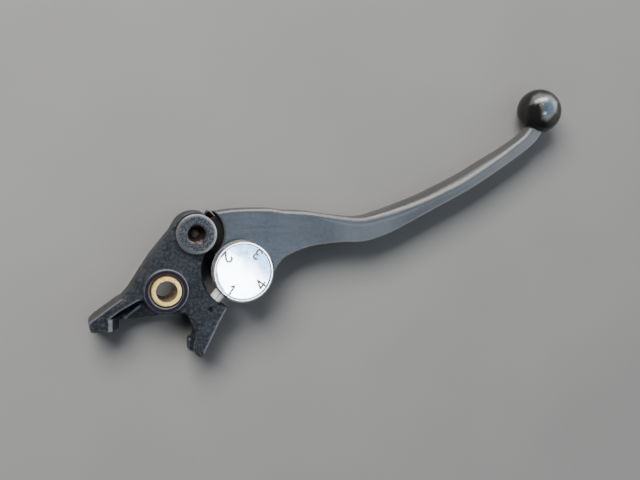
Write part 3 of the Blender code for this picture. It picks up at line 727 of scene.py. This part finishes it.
def bracket_field(f):
    """The body, with its bores, the fork's slot and the index mark cut into it."""
    x, y, z = f.x, f.y, f.z
    body = bracket_body(f)
    fork = arc(LINK, SLOT_R, SLOT_TO, SLOT_FROM + 360.0, 48) + arc(LINK, SLOT_REACH, SLOT_FROM, SLOT_TO, 24)
    body = cut(body, meet(f.plan(fork), slab(z, SLOT_LOW, SLOT_HIGH), 0.2), 0.25)
    lead_in = np.maximum(0, np.abs(z - 8.0) - (BOSS_HIGH - 8.0 - 0.85))
    body = cut(body, (f.disc(PIVOT, BUSH_OUTER_R + ROOM) - lead_in) * 0.8, 0.12)
    for centre, radius, low, high, lip in (
        (LINK, PIN_STEP_R + ROOM, SLOT_HIGH - 1.0, 16.0, 0.2),
        (LINK, PIN_SHANK_R + ROOM, 2.0, SLOT_LOW + 1.0, 0.2),
        (LINK, COUNTERBORE_R, -1.0, 3.0, 0.3),
        (polar(LINK, SPRING_R, SPRING_START), WIRE_R + 0.3, 3.2, SLOT_LOW + 0.5, 0.1),
    ):
        body = cut(body, f.rod(centre, radius, low, high, 0.05), lip)
    along, aside = along_stop(x, y)
    bore = np.hypot(aside, z - STOP_Z) - (STOP_R + ROOM)
    body = cut(body, meet(bore, slab(along, HOLLOW_R - 1.5, STOP_TAIL + ROOM), 0.1), 0.25)
    # the cast-in arrowhead that the dial's numbers are read against
    reach = INDEX_MARK_OUT - along
    mark = np.maximum(np.abs(aside) - 0.50 * np.clip(0.9 - reach, 0, 3.0), slab(reach, -1.2, 0.9))
    return cut(body, np.maximum(mark, PLATE_HIGH - 0.25 - z), 0.1)


def bracket_marks(piece):
    """Where the coat is worn to bare metal and lit edges carry painted highlights, violet on the boss, rough
    as cast, and painted dark as shade in the fork's gap, with the arrowhead darkened.
    """
    x, y, z = points_of(piece).T
    out, facing = distance(x, y, PIVOT), direction(x, y, PIVOT)
    back, on_arm = line_distance(x, y, BACK_EDGE), 1 - ease(x, *ARM_BLEND)
    # the boss rims' painted highlights are strongest on the side that faces the light
    outer_side = 0.2 + 0.8 * ease(np.cos(np.radians(facing - 35.0)), -0.4, 0.3)
    inner_side = 0.3 + 0.7 * ease(np.cos(np.radians(facing - 225.0)), -0.2, 0.5)
    outer_rim = 1.2 * outer_side * stripe(out, BOSS_R - 0.22, 0.22)
    inner_rim = 1.1 * inner_side * stripe(out, BUSH_OUTER_R + 0.75, 0.25)
    tip_strip = ease(x, -21.7, -21.4) * (1 - ease(x, -20.2, -19.9)) * (y < -9.9)
    plate_edge, off_web = ease(z, 13.4, 13.9), np.abs(z - WEB_HIGH)
    # painted highlights mixed with wear: light lines on the boss rims, the rib, the tip's chamfer, the web's
    # ridge and its bright spot, the finger's front and the arm's edges
    bare_and_highlight = [
        0.42 * (outer_rim + inner_rim) * (z > 14.9),
        0.42 * stripe(line_distance(x, y, RIB_EDGE), 0.45, 0.38) * ease(z, 13.2, 13.8) * (out > 9.4),
        0.40 * tip_strip * ease(z, 13.1, 13.3),
        0.70 * stripe(line_distance(x, y, WEB_RIDGE), 0.0, 0.38) * (off_web < 0.5),
        0.90 * stripe(distance(x, y, (-15.0, -10.7)), 0.0, 0.9) * (off_web < 0.8),
        0.40 * stripe(line_distance(x, y, FINGER_FRONT), 0.85, 0.42) * ease(z, 13.3, 13.9),
        0.22 * stripe(back, 0.4, 0.3) * plate_edge * on_arm,
        0.30 * stripe(y, PAD_Y + 0.3, 0.3) * plate_edge * ease(x, -25.0, -22.0) * (x < -19.0),
    ]
    set_mark(piece, "bare_and_highlight", np.maximum.reduce(bare_and_highlight))
    set_mark(piece, "boss", (1 - ease(out, 8.0, 8.3)) * (z > 15.0))
    rough_wide = 1.9 - 1.5 * on_arm
    cast = (1 - ease(back, rough_wide - 0.4, rough_wide + 0.4)) * ease(z, 1.5, 4.0)
    set_mark(piece, "cast", cast * (0.30 + 0.70 * on_arm))
    from_link = distance(x, y, LINK)
    # painted shade in the gap under the fork, where light hardly reaches
    in_gap = (z < 7.0) * (from_link > 6.0) * (from_link < 12.0) * (x > LINK[0])
    along, aside = along_stop(x, y)
    in_mark = (np.abs(aside) < 2.0) * (np.abs(along - INDEX_MARK_OUT) < 2.4) * (z > 13.9)
    set_mark(piece, "gap_shade_and_arrow_dark", np.maximum(in_gap, 0.85 * in_mark * (1 - ease(z, 14.3, 14.45))))


bracket_space = Field((-29.7, -27.6, -0.4), (25.2, 31.4, 16.4), 0.3)
points, quads = bracket_space.skin(bracket_field(bracket_space))
bracket = add_piece("lever_bracket", "cast", points, quads, "bracket", BLACK)
edge_wear(bracket, 0.6, 0.7)
bracket_marks(bracket)


# ---- the blade
def edge_points(side):
    """The blade's upper (+1) or lower (-1) edge, half a width off the middle line at each station."""
    points = []
    for i, (x, y, width, _, _) in enumerate(FINGER):
        before, after = FINGER[max(i - 1, 0)], FINGER[min(i + 1, len(FINGER) - 1)]
        along = Vector((after[0] - before[0], after[1] - before[1])).normalized()
        points.append((x - side * along.y * width / 2, y + side * along.x * width / 2))
    return points


UPPER_EDGE = smooth(list(reversed(edge_points(1))) + [(41.1, 30.9), (33.1, 31.0), (25.9, 30.7), (20.5, 30.0)])
LOWER_EDGE = smooth([(43.0, 6.6), (44.6, 9.2), (48.0, 12.0)] + edge_points(-1)[1:])


# widths at places along x: the bright bevel, the facet below it, and how far the wall above leans in
STRIP = (
    [18, 30, 42, 58, 72, 83, 96, 109, 123, 137, 150, 162],
    [0.9, 1.0, 1.2, 1.35, 1.4, 1.4, 1.5, 1.35, 1.4, 1.2, 1.1, 1.35],
)
FACET = [58, 66, 74, 84, 96, 109, 140, 158], [0.0, 0.9, 1.3, 1.3, 1.2, 0.8, 0.6, 0.5]
INSET = [66, 74, 83, 96, 109, 123, 137, 150, 162], [0.0, 0.2, 0.5, 1.25, 1.75, 2.0, 1.9, 0.9, 0.3]
BEVEL_SLOPE, FACET_SLOPE = 0.62, 0.16
TONGUE_NECK = [(20.5, 13.0), (24.0, 16.0), (24.0, 27.0), (20.5, 28.4)]
NOTCH_FROM, NOTCH_ARC = SPRING_END - 360.0 + 6.0, 32.0

# the ball's painted reflection patch, in radii to its right and up on the ball as it is lit
REFLECTION_RIGHT, REFLECTION_UP = (0.847, 0.0, 0.531), (-0.04, 0.997, 0.06)
REFLECTION_PATCH = [(-0.40, 0.31), (-0.27, 0.67), (0.0, 0.81), (0.52, 0.72), (0.81, 0.40)]
REFLECTION_PATCH += [(0.67, -0.09), (0.36, -0.45), (0.13, -0.36), (0.13, 0.0), (0.0, 0.40)]


def upper_side(x):
    return [np.interp(x, *table).astype(np.float32) for table in (STRIP, FACET, INSET)]


def stations(x, column):
    """A column of the blade's table along x, smoothed."""
    dense = smooth([(s[0], s[column]) for s in FINGER], 4)
    return np.interp(x, [d[0] for d in dense], [d[1] for d in dense]).astype(np.float32)


def blade_field(f):
    x, y, z = f.x, f.y, f.z
    root = arc(LINK, ROOT_GAP_R, 48.0, -50.0, 40) + arc(DIAL, LUG_R, 150.0, 315.0, 60)
    upper, lower = line_distance(x, y, UPPER_EDGE), line_distance(x, y, LOWER_EDGE)
    thick, middle = stations(x, 3), stations(x, 4)
    strip, facet, inset = upper_side(x)
    on_finger = ease(x, 44.0, 70.0)
    across = (lower - upper) / (lower + upper + 1e-3)
    crown = 0.20 * on_finger * across**2
    high, low = middle + thick / 2 - crown, middle - thick / 2 + crown
    # the flat top, the shallow facet and the bright bevel along the upper edge
    on_bevel = strip + inset - upper
    top = np.maximum(z - high, z - high + (facet + on_bevel) * FACET_SLOPE)
    top = np.maximum(top, (z - high + on_bevel * BEVEL_SLOPE) * 0.85)
    near_upper = ease(lower - upper, -1.0, 1.0)
    lean = inset * near_upper * np.clip((z - middle) / (thick / 2), 0, 1) ** 1.6
    edge = 0.25 + 0.25 * (1 - near_upper) * on_finger
    body = meet(f.plan(root + LOWER_EDGE + UPPER_EDGE) + lean, top, edge)
    body = meet(body, low - z, 0.6 + 1.0 * on_finger)
    ball = np.sqrt((x - BALL[0]) ** 2 + (y - BALL[1]) ** 2 + (z - BALL[2]) ** 2) - BALL_R
    body = join(body, ball, 0.7)
    # the tongue in the fork and its hub
    tongue = arc(LINK, TONGUE_R, 45.0, 298.0, 48) + TONGUE_NECK
    body = join(body, meet(f.plan(tongue), slab(z, TONGUE_LOW, TONGUE_HIGH), 0.3), 0.35)
    body = join(body, f.rod(LINK, HUB_R, HUB_LOW, TONGUE_LOW + 0.5), 0.2)
    body = cut(body, f.rod(LINK, LINK_BUSH_R + ROOM, HUB_LOW - 1.0, TONGUE_HIGH + 1.0, 0.05), 0.15)
    # the cam's pocket, the spindle's bore and the slot for the spring's upper leg
    pocket = arc(DIAL, POCKET_R, -88.0, 178.0, 48) + arc(DIAL, SLOT_REACH, 178.0, 272.0, 24)
    body = cut(body, meet(f.plan(pocket), slab(z, POCKET_LOW, POCKET_HIGH), 0.2), 0.25)
    body = cut(body, f.disc(DIAL, SPINDLE_R + ROOM), 0.3)
    notch = arc(LINK, SPRING_R + 0.7, NOTCH_FROM, NOTCH_FROM - NOTCH_ARC, 12)
    notch += arc(LINK, SPRING_R - 0.7, NOTCH_FROM - NOTCH_ARC, NOTCH_FROM, 12)
    return cut(body, meet(f.plan(notch), slab(z, TONGUE_LOW - 0.5, 9.5), 0.1), 0.15)


def blade_marks(piece):
    """Where the blade carries painted highlights, a painted brownish reflection and a painted bluish
    reflection band, a lighter tone along stretches, and painted shade in the gaps.
    """
    x, y, z = points_of(piece).T
    upper, lower = line_distance(x, y, UPPER_EDGE), line_distance(x, y, LOWER_EDGE)
    below = stations(x, 4) + stations(x, 3) / 2 - z
    strip, facet, inset = upper_side(x)
    past_strip = upper - inset - strip
    # painted highlights: the bright bevel, a light line at the crease below it and one along the lower edge
    on_strip = ease(BEVEL_SLOPE * strip - below, -0.2, 0.0) * (1 - ease(past_strip, -0.1, 0.1))
    crease = 0.40 * stripe(past_strip - facet, 0.25, 0.40) * ease(facet, 0.1, 0.8)
    crease = crease * (1 - 0.6 * ease(x, 96.0, 112.0))
    lower_line = 0.5 * stripe(lower, 0.50, 0.32) * ease(x, 44.0, 56.0)
    lit = np.maximum(crease, lower_line) * (below < 1.3)
    set_mark(piece, "strip", np.maximum(on_strip, lit))
    # painted reflection: the darker bluish band between the bevel and the facet
    blue_reflection_band = (1 - ease(past_strip - facet, -0.2, 0.2)) * ease(x, 60.0, 72.0)
    set_mark(piece, "blue_reflection_band", blue_reflection_band * (1 - on_strip) * (below < 1.2))
    # painted reflection of the floor on the blade's upper side wall
    set_mark(piece, "side", ease(below, 0.7, 1.6) * (lower > upper))
    # lighter towards the ball end and on a stretch near the root
    lighter_root = ease(x, 64.0, 74.0) * (1 - ease(x, 88.0, 102.0))
    set_mark(piece, "lighter_stretch", np.maximum(ease(x, 95.0, 160.0), 0.62 * lighter_root))
    # painted shade in the gaps round the link and under the dial's rim
    facing = direction(x, y, DIAL)
    round_dial = ease(distance(x, y, DIAL), 9.6, 10.2) * (facing > 140) * (facing < 275)
    in_gap = np.clip(1 - ease(distance(x, y, LINK), 11.3, 12.0) + round_dial, 0, 1)
    set_mark(piece, "gap_shade", in_gap * (1 - ease(z, 13.2, 14.0)))


def ball_marks(piece):
    """The ball, painted dark around a painted bright reflection patch with a bluer painted sky reflection in
    its middle.
    """
    on_ball = (points_of(piece) - np.array(BALL)) / BALL_R
    set_mark(piece, "ball", 1 - ease((np.linalg.norm(on_ball, axis=1) - 1) * BALL_R, 0.1, 0.7))
    u, v = on_ball @ np.array(REFLECTION_RIGHT), on_ball @ np.array(REFLECTION_UP)
    wear_and_highlight = (1 - ease(plan_distance(u, v, REFLECTION_PATCH), -0.14, 0.10)) * (on_ball[:, 2] > 0)
    set_mark(piece, "painted_reflection", wear_and_highlight * 0.9 + 0.06)
    set_mark(piece, "painted_sky_blue", wear_and_highlight * (1 - ease(np.hypot(u - 0.48, (v - 0.12) * 0.8), 0.16, 0.42)))


blade_space = Field((4.6, -4.4, -0.5), (173.3, 81.8, 19.6), 0.345)
points, quads = blade_space.skin(blade_field(blade_space))
blade = add_piece("blade", "forging", points, quads, "blade", SATIN)
edge_wear(blade, 0.4, 0.6)
blade_marks(blade)
ball_marks(blade)


# ---- the pivot bush
bush_profile = ring_profile(BUSH_BORE_R, BUSH_OUTER_R, 0.0, BUSH_LENGTH, 0.3, 0.2, steps=8)
points, faces = lathe(bush_profile, PIVOT, 192)
bush = add_piece("pivot_bush", "brass", points, faces, "pivot", BRASS)
set_mark(bush, "bore", 1 - ease(np.hypot(*points.T[:2]) - BUSH_BORE_R, 0.02, 0.12))

# ---- the link pin, its screw and washers
PIN_BEVEL = 0.34
CLIP_GROOVE_Z = PIN_MOUTH_FLOOR + 1.4
THREAD_POINTS, THREAD_DEPTH, THREAD_PITCH = 47, 0.22, 0.8

pin_outside = open_line(
    (PIN_HEAD_R - PIN_BEVEL, PIN_HEAD_HIGH, 0.15),
    (PIN_HEAD_R, PIN_HEAD_HIGH - PIN_BEVEL, 0.15),
    (PIN_HEAD_R, PIN_HEAD_LOW, 0.12),
    (PIN_STEP_R, PIN_HEAD_LOW, 0.05),
    (PIN_STEP_R, SLOT_HIGH + 0.1, 0.15),
    (PIN_SHANK_R, SLOT_HIGH + 0.1, 0.05),
    (PIN_SHANK_R, PIN_FOOT, 0.25),
)
pin_thread = [(PIN_THREAD_R, z) for z in np.linspace(PIN_FOOT, PIN_MOUTH_FLOOR - 0.3, THREAD_POINTS)]
pin_mouth = open_line(
    (PIN_THREAD_R + 0.3, PIN_MOUTH_FLOOR, 0.0),
    (PIN_MOUTH_R, PIN_MOUTH_FLOOR, 0.25),
    (PIN_MOUTH_R, CLIP_GROOVE_Z, 0.0),
    (PIN_MOUTH_R + 0.08, CLIP_GROOVE_Z + 0.1, 0.0),
    (PIN_MOUTH_R + 0.08, CLIP_GROOVE_Z + 0.5, 0.0),
    (PIN_MOUTH_R, CLIP_GROOVE_Z + 0.6, 0.0),
    (PIN_MOUTH_R, PIN_HEAD_HIGH - 0.4, 0.1),
    (PIN_MOUTH_R + 0.4, PIN_HEAD_HIGH, 0.1),
)
pin_face = [(4.6 + i * 0.6, PIN_HEAD_HIGH) for i in range(4)]


def threaded(i, reach, rise, turn):
    """The thread in the pin's bore."""
    if 0 <= i - len(pin_outside) < THREAD_POINTS:
        wave = (rise / THREAD_PITCH - turn / (2 * math.pi)) % 1.0
        reach = reach - THREAD_DEPTH * np.abs(wave - 0.5) * 2
    return reach, rise


points, faces = lathe(pin_outside + pin_thread + pin_mouth + pin_face, LINK, 160, shape=threaded)
pin = add_piece("link_pin", "steel", points, faces, "bracket", PIN_STEEL)
x, y, z = points.T
out = distance(x, y, LINK)
set_mark(pin, "bare_and_highlight", ease(out - PIN_HEAD_R + PIN_BEVEL, -0.25, 0.1) * (z > PIN_HEAD_LOW + 0.5))
set_mark(pin, "rust", 1 - ease(out - PIN_MOUTH_R, 0.1, 0.45))
# painted light: the lower wall of the pin's mouth, which the light falls on
toward_lit_wall = np.cos(np.radians(direction(x, y, LINK) - 262.0))
set_mark(pin, "rust_lit_side", ease(toward_lit_wall, 0.45, 0.85) * (z > PIN_MOUTH_FLOOR))

screw_profile = open_line(
    (0.05, 11.75, 0.0),
    (1.5, 11.8, 0.0),
    (1.9, 11.4, 0.1),
    (1.9, 1.95, 0.05),
    (4.5, 1.95, 0.15),
    (4.5, 0.15, 0.3),
    (2.35, 0.15, 0.0),
)
socket_from = len(screw_profile)
screw_profile += [(2.0, 0.4), (2.0, 1.45), (0.4, 1.55)]


def hexagonal(i, reach, rise, turn):
    """The sides of the screw's socket."""
    if socket_from <= i <= socket_from + 1:
        reach = reach * math.cos(math.pi / 6) / np.cos(turn % (math.pi / 3) - math.pi / 6)
    return reach, rise


points, faces = lathe(screw_profile, LINK, 120, ring=False, shape=hexagonal)
add_piece("link_pin_screw", "steel", points, faces, "bracket", SCREW_STEEL)

# each washer's body, material, centre, inner and outer radius, underside and top
WASHERS = {
    "link_bush": ("blade", BRONZE, LINK, 3.6, LINK_BUSH_R, 5.45, 10.75),
    "lower_thrust_washer": ("bracket", LINK_STEEL, LINK, 3.6, 5.1, 4.75, 5.25),
    "upper_thrust_washer": ("bracket", LINK_STEEL, LINK, 3.6, 6.1, 10.95, 11.45),
    "spindle_washer": ("blade", DIAL_STEEL, DIAL, 2.7, 5.6, 2.3, 3.0),
}
for node, (body, material, centre, *size) in WASHERS.items():
    kind, slot = ("bronze", "bronze") if material == BRONZE else ("steel", "bright_steel")
    points, faces = lathe(ring_profile(*size), centre, 96)
    add_piece(node, kind, points, faces, body, material)

points, faces = swept(ring_profile(2.2, 4.3, 2.23, 2.72), LINK, 4.0, 354.0, 90, 0.12)
add_piece("screw_lock_washer", "steel", points, faces, "bracket", LINK_STEEL)
points, faces = swept(ring_profile(2.1, 4.4, 1.38, 1.87, 0.1), DIAL, 40.0, 320.0, 80)
add_piece("spindle_clip", "steel", points, faces, "dial", BRIGHT)

# ---- the return spring: a leg, nearly two turns, a leg
COIL_POINTS, COIL_LOW, COIL_HIGH = 140, 5.25, 6.9
foot = polar(LINK, SPRING_R, SPRING_START)
route = [(*foot, 3.5 + i * 0.3) for i in range(5)]
for i in range(COIL_POINTS + 1):
    t = i / COIL_POINTS
    spot = polar(LINK, SPRING_R, SPRING_START + (SPRING_END - SPRING_START) * t)
    route.append((*spot, COIL_LOW + (COIL_HIGH - COIL_LOW) * t))
route += [(*spot, COIL_HIGH + 0.4 + i * 0.38) for i in range(6)]
points, faces = tube(route, WIRE_R)
add_piece("return_spring", "wire", points, faces, "bracket", BRIGHT)


# ---- the reach dial and its cam
TEETH, TOOTH_DEPTH = 108, 0.28
DIAL_SEGMENTS = TEETH * 6
FACE_R, FACE_Z = 10.7, 18.45
DIGIT_HEIGHT, DIGIT_R, STROKE, ENGRAVED = 4.0, 8.55, 0.24, 0.26


DIGITS = {
    235.0: [[(-0.17, 0.80), (0.06, 1.0), (0.06, 0.0)]],
    138.0: [arc((0.0, 0.72), 0.28, 165.0, -40.0, 10) + [(-0.28, 0.0), (0.32, 0.0)]],
    49.0: [arc((0.0, 0.76), 0.24, 150.0, -90.0, 10), arc((0.0, 0.27), 0.27, 90.0, -150.0, 10)],
    322.0: [[(0.14, 0.0), (0.14, 1.0), (-0.34, 0.30), (0.36, 0.30)]],
}


def digit_lines():
    """Every stroke on the dial's face, bases outward, in millimetres from the dial's axis."""
    lines = []
    for facing, strokes in DIGITS.items():
        out = np.array(polar((0.0, 0.0), 1.0, facing))
        right = np.array((-out[1], out[0]))
        for stroke in strokes:
            lines.append([out * DIGIT_R + (out * (0.5 - v) + right * u) * DIGIT_HEIGHT for u, v in stroke])
    return lines


face_rings = [(r, FACE_Z) for r in [0.05, 1.5, 3.0, 4.5, 5.5] + list(np.arange(6.2, FACE_R - 0.1, 0.1))]
rim_profile = open_line(
    (FACE_R, FACE_Z, 0.08),
    (FACE_R + 0.22, DIAL_HIGH - 0.03, 0.12),
    (11.45, DIAL_HIGH, 0.3),
    (DIAL_R - 0.05, DIAL_HIGH - 0.75, 0.15),
)
knurl_rows = [(DIAL_R, 17.95), (DIAL_R, 17.85), (DIAL_R, 16.5), (DIAL_R, 15.1), (DIAL_R, 15.0)]
dial_under = open_line(
    (DIAL_R - 0.05, 14.9, 0.0),
    (DIAL_R - 0.35, DIAL_LOW, 0.1),
    (10.8, DIAL_LOW, 0.1),
    (10.8, 16.3, 0.3),
    (3.4, 16.3, 0.2),
    (3.4, DIAL_LOW, 0.1),
    (SPIGOT_R + 0.2, DIAL_LOW, 0.1),
    (SPIGOT_R + 0.2, SPIGOT_TOP + 0.3, 0.05),
    (0.05, SPIGOT_TOP + 0.3, 0.0),
    steps=4,
)
dial_profile = face_rings + rim_profile + knurl_rows + dial_under
knurl_from = len(face_rings) + len(rim_profile)


def knurled(i, reach, rise, turn):
    """The dial's teeth, on all but the end rows of its side."""
    if knurl_from < i < knurl_from + len(knurl_rows) - 1:
        reach = reach - TOOTH_DEPTH * (0.5 + 0.5 * np.cos(turn * TEETH))
    return reach, rise


points, faces = lathe(dial_profile, DIAL, DIAL_SEGMENTS, ring=False, shape=knurled)
x, y, z = points.T
out, facing = distance(x, y, DIAL), direction(x, y, DIAL)
on_face = np.arange(len(points)) < len(face_rings) * DIAL_SEGMENTS
right, ahead = x[on_face] - DIAL[0], y[on_face] - DIAL[1]
stroke_gap = np.minimum.reduce([line_distance(right, ahead, line) for line in digit_lines()])
sunk = 1 - ease(stroke_gap, STROKE * 0.55, STROKE * 1.15)
dirt_and_dark_reflection = 0.8 * np.clip((DIAL_R - out) / TOOTH_DEPTH, 0, 1) * (z > 15.0) * (z < 17.9) * (out > 11.0)
dirt_and_dark_reflection[on_face] = sunk * 0.9
# painted reflection: a dark arc on the left of the rim
rim_dark_reflection = stripe(out, FACE_R - 0.4, 0.25) * ease(facing, 172.0, 184.0) * (1 - ease(facing, 214.0, 228.0))
dirt_and_dark_reflection = np.maximum(dirt_and_dark_reflection, 0.45 * rim_dark_reflection * (z > 18.0))
points[on_face, 2] -= ENGRAVED * sunk
dial = add_piece("adjuster_dial", "chrome", points, faces, "dial", CHROME)
set_mark(dial, "dirt_and_dark_reflection", dirt_and_dark_reflection)


def cam_shape(i, reach, rise, turn):
    """A round cam with one flat for each number."""
    for facing, flat in CAM_FLATS.items():
        toward = np.cos(turn - math.radians(facing))
        reach = np.where(toward > 0.5, np.minimum(reach, flat / np.maximum(toward, 0.5)), reach)
    return reach, rise


cam_profile = ring_profile(SPINDLE_R + ROOM, CAM_R, CAM_LOW, CAM_HIGH, 0.15, 0.1)
points, faces = lathe(cam_profile, DIAL, 240, shape=cam_shape)
add_piece("adjuster_cam", "steel", points, faces, "dial", DIAL_STEEL)

spindle_profile = open_line(
    (0.3, SPIGOT_TOP, 0.0),
    (SPIGOT_R, SPIGOT_TOP, 0.2),
    (SPIGOT_R, BLADE_HIGH + 0.1, 0.05),
    (SPINDLE_R, BLADE_HIGH + 0.1, 0.1),
    (SPINDLE_R, 2.0, 0.05),
    (1.9, 2.0, 0.05),
    (1.9, 1.25, 0.05),
    (SPINDLE_R, 1.25, 0.05),
    (SPINDLE_R, 0.6, 0.3),
    (0.3, 0.6, 0.0),
    steps=4,
)
points, faces = lathe(spindle_profile, DIAL, 96, ring=False)
add_piece("cam_spindle", "steel", points, faces, "dial", DIAL_STEEL)


def rippled(i, reach, rise, turn):
    """The three waves of the friction spring."""
    return reach, rise + 0.4 * np.sin(3 * turn)


points, faces = lathe(ring_profile(3.9, 7.5, 15.1, 15.5, 0.06), DIAL, 144, shape=rippled)
add_piece("wave_washer", "spring", points, faces, "blade", BRIGHT)

# ---- the stop pin: a rod lying towards the dial's axis
stop_ends = open_line(
    (0.05, STOP_TAIL, 0.0),
    (STOP_R, STOP_TAIL, 0.3),
    (STOP_R, STOP_TIP, 0.7),
    (0.05, STOP_TIP, 0.0),
    steps=10,
)
stop_side = [(STOP_R, STOP_TAIL - 0.8 - i * 0.5) for i in range(26)]
half = len(stop_ends) // 2
stop_profile = stop_ends[:half] + stop_side + stop_ends[half:]


def grooved(i, reach, rise, turn):
    """A slit along the side that faces up."""
    off = (turn - math.pi / 2 + math.pi) % (2 * math.pi) - math.pi
    return reach * (1 - 0.30 * np.exp(-((off * STOP_R / 0.30) ** 4))), rise


points, faces = lathe(stop_profile, (0.0, 0.0), 120, ring=False, shape=grooved)
out = np.array((*polar((0.0, 0.0), 1.0, INDEX_DEG), 0.0))
aside, up = np.array((-out[1], out[0], 0.0)), np.array((0.0, 0.0, 1.0))
points = points @ np.array((aside, up, out)) + np.array((*DIAL, STOP_Z))
add_piece("stop_pin", "steel", points, faces, "bracket", STOP_STEEL)


# ---- floor, lights and camera
def floor_material():
    p = Paint("floor_finish")
    tone = p.mix(p.span(p.noise(60.0, 2.0), 0.3, 0.7), (0.150, 0.1494, 0.1477), (0.161, 0.1603, 0.1585))
    return p.finish(colour=tone, roughness=0.9)


FLOOR_SIDE, FLOOR_DROP = 3.2, 0.0002
corners = [(x * FLOOR_SIDE / 2, y * FLOOR_SIDE / 2, 0) for x, y in ((-1, -1), (1, -1), (1, 1), (-1, 1))]
floor_mesh = bpy.data.meshes.new("floor")
floor_mesh.from_pydata(corners, [], [(0, 1, 2, 3)])
floor_mesh.materials.append(floor_material())
floor = add_object("floor", floor_mesh)
floor.location.z = -FLOOR_DROP


def add_lamp(light, power, place, aim, glossy=True):
    """Hangs a light at a place, turned to a point; with glossy off, nothing shiny reflects it."""
    light.energy = power
    lamp = add_object(light.name, light)
    lamp.location = place
    lamp.rotation_mode = "QUATERNION"
    lamp.rotation_quaternion = (Vector(aim) - Vector(place)).to_track_quat("-Z", "Y")
    lamp.visible_glossy = glossy


def soft_light(name, place, aim, width, height, power, colour, glossy=True):
    light = bpy.data.lights.new(name, "AREA")
    light.shape = "RECTANGLE"
    light.size, light.size_y = width, height
    light.color = colour
    add_lamp(light, power, place, aim, glossy)


CENTRE, DIAL_SPOT = (0.07, 0.03, 0.0), (0.03, 0.007, 0.0)
WARM_WHITE = (1.0, 0.98, 0.95)
soft_light("window", (-0.34, 0.70, 0.74), CENTRE, 0.80, 0.50, 38.0, WARM_WHITE, glossy=False)
soft_light("top_strip", (0.0, 0.95, 0.56), (0.1, 0.04, 0.0), 1.2, 0.30, 4.2, WARM_WHITE)
soft_light("right_strip", (0.95, 0.30, 0.40), (0.10, 0.03, 0.0), 0.7, 0.40, 1.3, (0.94, 0.97, 1.0))
soft_light("dial_card", (0.156, -0.104, 0.72), DIAL_SPOT, 0.070, 0.072, 0.20, (1.0, 1.0, 1.0))
soft_light("sky_card", (0.185, -0.080, 0.745), DIAL_SPOT, 0.13, 0.16, 0.21, (0.14, 0.52, 1.0))

bore_light = bpy.data.lights.new("bore_light", "SPOT")
bore_light.spot_size, bore_light.spot_blend = math.radians(2.6), 0.5
bore_light.shadow_soft_size = 0.01
add_lamp(bore_light, 7.0, (-0.0330, 0.0475, 0.335), (0.0, 0.0, 0.0), glossy=False)

# the sky is dark but for a bright side low on the right
SKY_WAY, SKY_DARK, SKY_BRIGHT = (0.90, 0.12, 0.42), 0.05, 1.0
world = bpy.data.worlds.new("studio")
sky = Nodes(world)
toward = sky.node("TexCoord", {}).outputs["Generated"]
facing_it = sky.node("VectorMath", {0: toward, 1: SKY_WAY}, operation="DOT_PRODUCT").outputs["Value"]
strength = sky.span(facing_it, 0.26, 0.88, SKY_DARK, SKY_BRIGHT, interpolation_type="SMOOTHSTEP")
background = sky.tree.nodes["Background"]
sky.feed(background.inputs["Color"], (0.86, 0.93, 1.0))
sky.feed(background.inputs["Strength"], strength)
bpy.context.scene.world = world

EYE, AIM = Vector((-0.0322, 0.0460, 0.320)), Vector((0.0656, 0.0167, 0.0))
camera_data = bpy.data.cameras.new("camera")
camera_data.lens, camera_data.sensor_width = 45.0, 36.0
camera_data.clip_start, camera_data.clip_end = 0.01, 10.0
camera = add_object("camera", camera_data)
ahead = (AIM - EYE).normalized()
right = ahead.cross(Vector((0, 1, 0))).normalized()
upward = right.cross(ahead)
camera.matrix_world = Matrix.Translation(EYE) @ Matrix((right, upward, -ahead)).transposed().to_4x4()
bpy.context.scene.camera = camera
